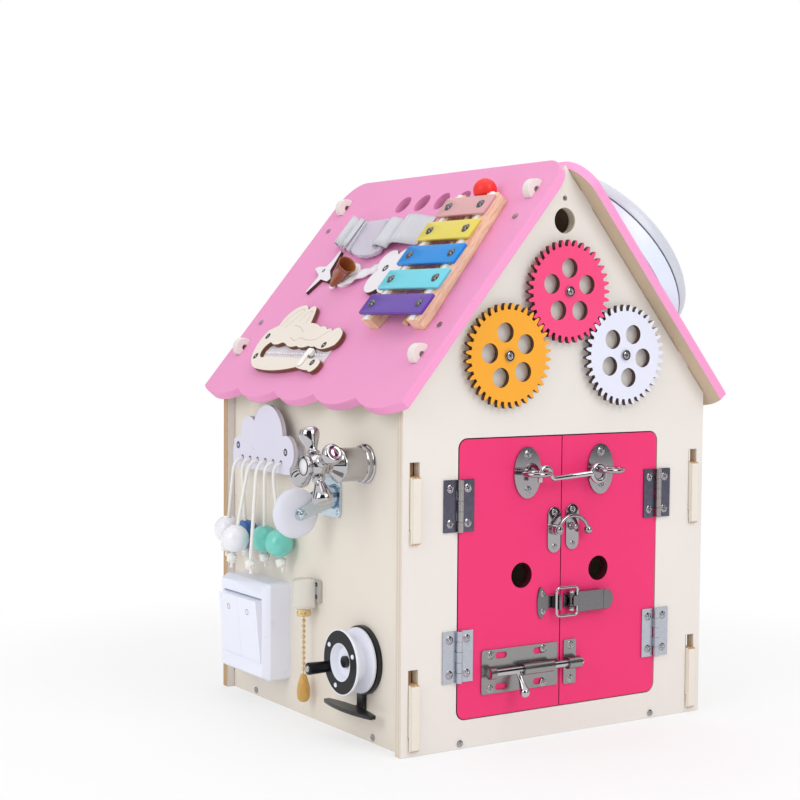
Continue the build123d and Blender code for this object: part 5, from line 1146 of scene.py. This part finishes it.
# %% Swing latch plate, toggle catch and lever cover
BOSS_TURNS = (
    (0, 1.2), (4.2, 1.2), (4.2, 4.7), (3.9, 5.1), (1.5, 5.1), (1.5, 8.95), (2.9, 8.95), (2.9, 9.7), (2.3, 10.2),
    (0, 10.3),
)
POST_TURNS = ((0, 1.2), (3.4, 1.2), (2.2, 2.0), (2.2, 7.2), (1.7, 8.0), (0, 8.1))
for name, node, body, plate_at, turns, stud_at in (
    ("swing_latch_base", "swing_latch_plate", "left_door", (-7.5, 163.5), BOSS_TURNS, (-8.5, 164.0)),
    ("swing_latch_keeper", "swing_latch_post", "right_door", (10.7, 165.0), POST_TURNS, (9.3, 165.7)),
):
    plate = slab(FRONT, *plate_at, (12.7, 36.4), 0.0, 1.3, 6.3, 0.4, steps=5)
    piece_of(name, [plate, lathe(FRONT.at(*stud_at, 0), FRONT.n, turns, 40)], PLATED, body, (node,))
CATCH_OUTLINE = (
    (-20.2, 119.0), (-17.8, 117.6), (-15.4, 113.8), (-12.4, 111.8), (-8.0, 111.6), (-4.4, 111.6), (-4.4, 101.6),
    (-8.0, 101.6), (-12.4, 101.2), (-15.4, 98.8), (-17.8, 95.2), (-20.2, 94.0), (-22.4, 98.0), (-23.2, 106.5),
    (-22.4, 115.0),
)
catch = [
    cut_plate(FRONT, CATCH_OUTLINE, 0.0, 1.3, 5, 0.35),
    slab(FRONT, -5.5, 106.5, (2.0, 12.0), 0.0, 8.2, 0.6, 0.5),
]
piece_of("toggle_catch_fan", catch, finishes["steel_dark"], "left_door", ("toggle_catch",))
COVER_OUTLINE = (
    (13.2, 97.4), (41.0, 97.4), (43.6, 97.9), (46.0, 99.3), (47.7, 101.6), (48.4, 104.4), (48.4, 106.6), (47.7, 109.4),
    (46.0, 111.7), (43.6, 113.1), (41.0, 113.6), (13.2, 113.6),
)
cover = [
    cut_plate(FRONT, COVER_OUTLINE, 6.0, 7.8, 0, 0.5),
    *[slab(FRONT, 26.0, 105.5 + side * 7.4, (22.0, 1.2), 2.2, 7.2, 0.5, 0.4) for side in (-1, 1)],
    slab(FRONT, 38.6, 105.5, (0.7, 15.6), 7.7, 8.1, 0.3, 0.2),
]
piece_of("toggle_lever_cover", cover, finishes["steel_dark"], "toggle_lever")
ROLL_TURNS = ((0, -1.2), (2.2, -1.2), (2.8, -0.7), (2.3, 0.0), (2.8, 0.7), (2.2, 1.2), (0, 1.2))
rolls = [lathe(FRONT.at(8.0, 106.5 + side * 6.9, 4.0), (0, 0, 1), ROLL_TURNS, 24) for side in (-1, 1)]
piece_of("toggle_rolls", rolls, finishes["chrome"], "toggle_lever")

# %% [markdown]
# ## Studio
# A wide pale floor and soft boxes light the house evenly. The floor adds a little light of its own for the
# camera only, so it stays pale everywhere and still darkens under the house.

# %% Floor, lights and world
FLOOR_HALF, CLEAR_FROM, CLEAR_TO = 6.0, 0.32, 0.62
CORNERS = ((-1, -1), (1, -1), (1, 1), (-1, 1))


def eye_rays(finish):
    """1 for what the camera sees directly, in a mirror or through clear plastic, and 0 for light on the house."""
    path = finish.tree.nodes.new("ShaderNodeLightPath")
    names = ("Is Camera Ray", "Is Glossy Ray", "Is Transmission Ray")
    camera_ray, mirror_ray, clear_ray = (Wire(finish, path.outputs[name]) for name in names)
    return clear_ray.math("MAXIMUM", camera_ray.math("MAXIMUM", camera_ray, mirror_ray), clear_ray)


def white_ground():
    """A matt floor under the house that turns into plain white for the eye further away."""
    finish = Finish("ground")
    finish.set(Base_Color=(0.86, 0.86, 0.87, 1.0), Roughness=0.9, Specular_IOR_Level=0.1)
    where = finish.node("TexCoord", out="Object")
    far = finish.node("VectorMath", {"operation": "LENGTH"}, [where], out="Value")
    white = far.above((CLEAR_FROM + CLEAR_TO) / 2, (CLEAR_TO - CLEAR_FROM) / 2) * 0.42 + 0.58
    glow = finish.node("Emission", None, {"Color": (1, 1, 1, 1), "Strength": 1.0})
    mixed = finish.node("MixShader", None, [eye_rays(finish) * white, Wire(finish, finish.shader.outputs[0]), glow])
    finish.put(finish.tree.nodes["Material Output"].inputs["Surface"], mixed)
    return finish.material


def stage_panel(name, corners, material):
    """A flat panel of the studio, which is no part of the house."""
    mesh = bpy.data.meshes.new(name)
    mesh.from_pydata([tuple(corner) for corner in corners], [], [(0, 1, 2, 3)])
    mesh.materials.append(material)
    panel = link(name, mesh)
    return panel


stage_panel("floor", [(x * FLOOR_HALF, y * FLOOR_HALF, 0) for x, y in CORNERS], white_ground())


def soft_box(name, at, aim, width, height, watts):
    """A rectangular area light at a point, aimed at another."""
    lamp = bpy.data.lights.new(name, "AREA")
    lamp.shape, lamp.size, lamp.size_y, lamp.energy = "RECTANGLE", width, height, watts
    light = link(name, lamp)
    back = np.array(at, float) - np.array(aim, float)
    back /= np.linalg.norm(back)
    side, top = across(back)
    turn = np.eye(4)
    turn[:3, 0], turn[:3, 1], turn[:3, 2], turn[:3, 3] = side, top, back, at
    if np.linalg.det(turn[:3, :3]) < 0:
        turn[:3, 0] = -side
    light.matrix_world = Matrix(turn.tolist())


soft_box("key", (0.3, -1.9, 1.5), (0, 0, 0.25), 1.2, 1.2, 15)
soft_box("side", (-2.1, -0.5, 1.2), (0, 0, 0.25), 1.2, 1.4, 13)
soft_box("top", (0.0, 0.0, 2.2), (0, 0, 0.3), 1.6, 1.6, 7)
soft_box("fill", (1.3, 2.2, 1.1), (0, 0, 0.25), 1.4, 1.2, 7)


def dark_flag(name, at, aim, width, height):
    """A dark panel that only mirrors see, so that chrome shows dark bands between the soft boxes."""
    back = np.array(aim, float) - np.array(at, float)
    side, top = across(back)
    corners = [np.array(at) + x * width / 2 * side + y * height / 2 * top for x, y in CORNERS]
    finish = Finish(name)
    finish.set(Base_Color=(0.02, 0.02, 0.025, 1), Roughness=0.8)
    flag = stage_panel(name, corners, finish.material)
    flag.visible_camera = flag.visible_diffuse = flag.visible_shadow = flag.visible_transmission = False


FLAGS = (  # heading, distance, width and height of each panel, and the height of its middle
    (303, 2.5, 1.7, 2.5, 0.95), (232, 2.7, 3.2, 2.7, 1.15), (340, 2.5, 0.7, 2.2, 0.9), (123, 2.5, 0.8, 2.2, 0.8),
    (160, 2.5, 0.45, 2.2, 0.8), (195, 2.6, 0.6, 2.2, 0.8), (85, 2.6, 0.6, 2.2, 0.8),
)
for index, (heading, distance, width, height, middle) in enumerate(FLAGS):
    turn = math.radians(heading)
    at = (distance * math.cos(turn), distance * math.sin(turn), middle)
    dark_flag(f"flag_{index + 1}", at, (0, 0, 0.3), width, height)

LIGHT_LEVEL, SEEN_LEVEL = 0.72, 1.0
sky = Finish("studio", bpy.data.worlds.new("studio"))
bpy.context.scene.world = sky.material
background = sky.tree.nodes["Background"]
sky.put(background.inputs["Color"], (1, 1, 1, 1))
sky.put(background.inputs["Strength"], eye_rays(sky) * (SEEN_LEVEL - LIGHT_LEVEL) + LIGHT_LEVEL)
bpy.context.scene.view_settings.view_transform = "Standard"
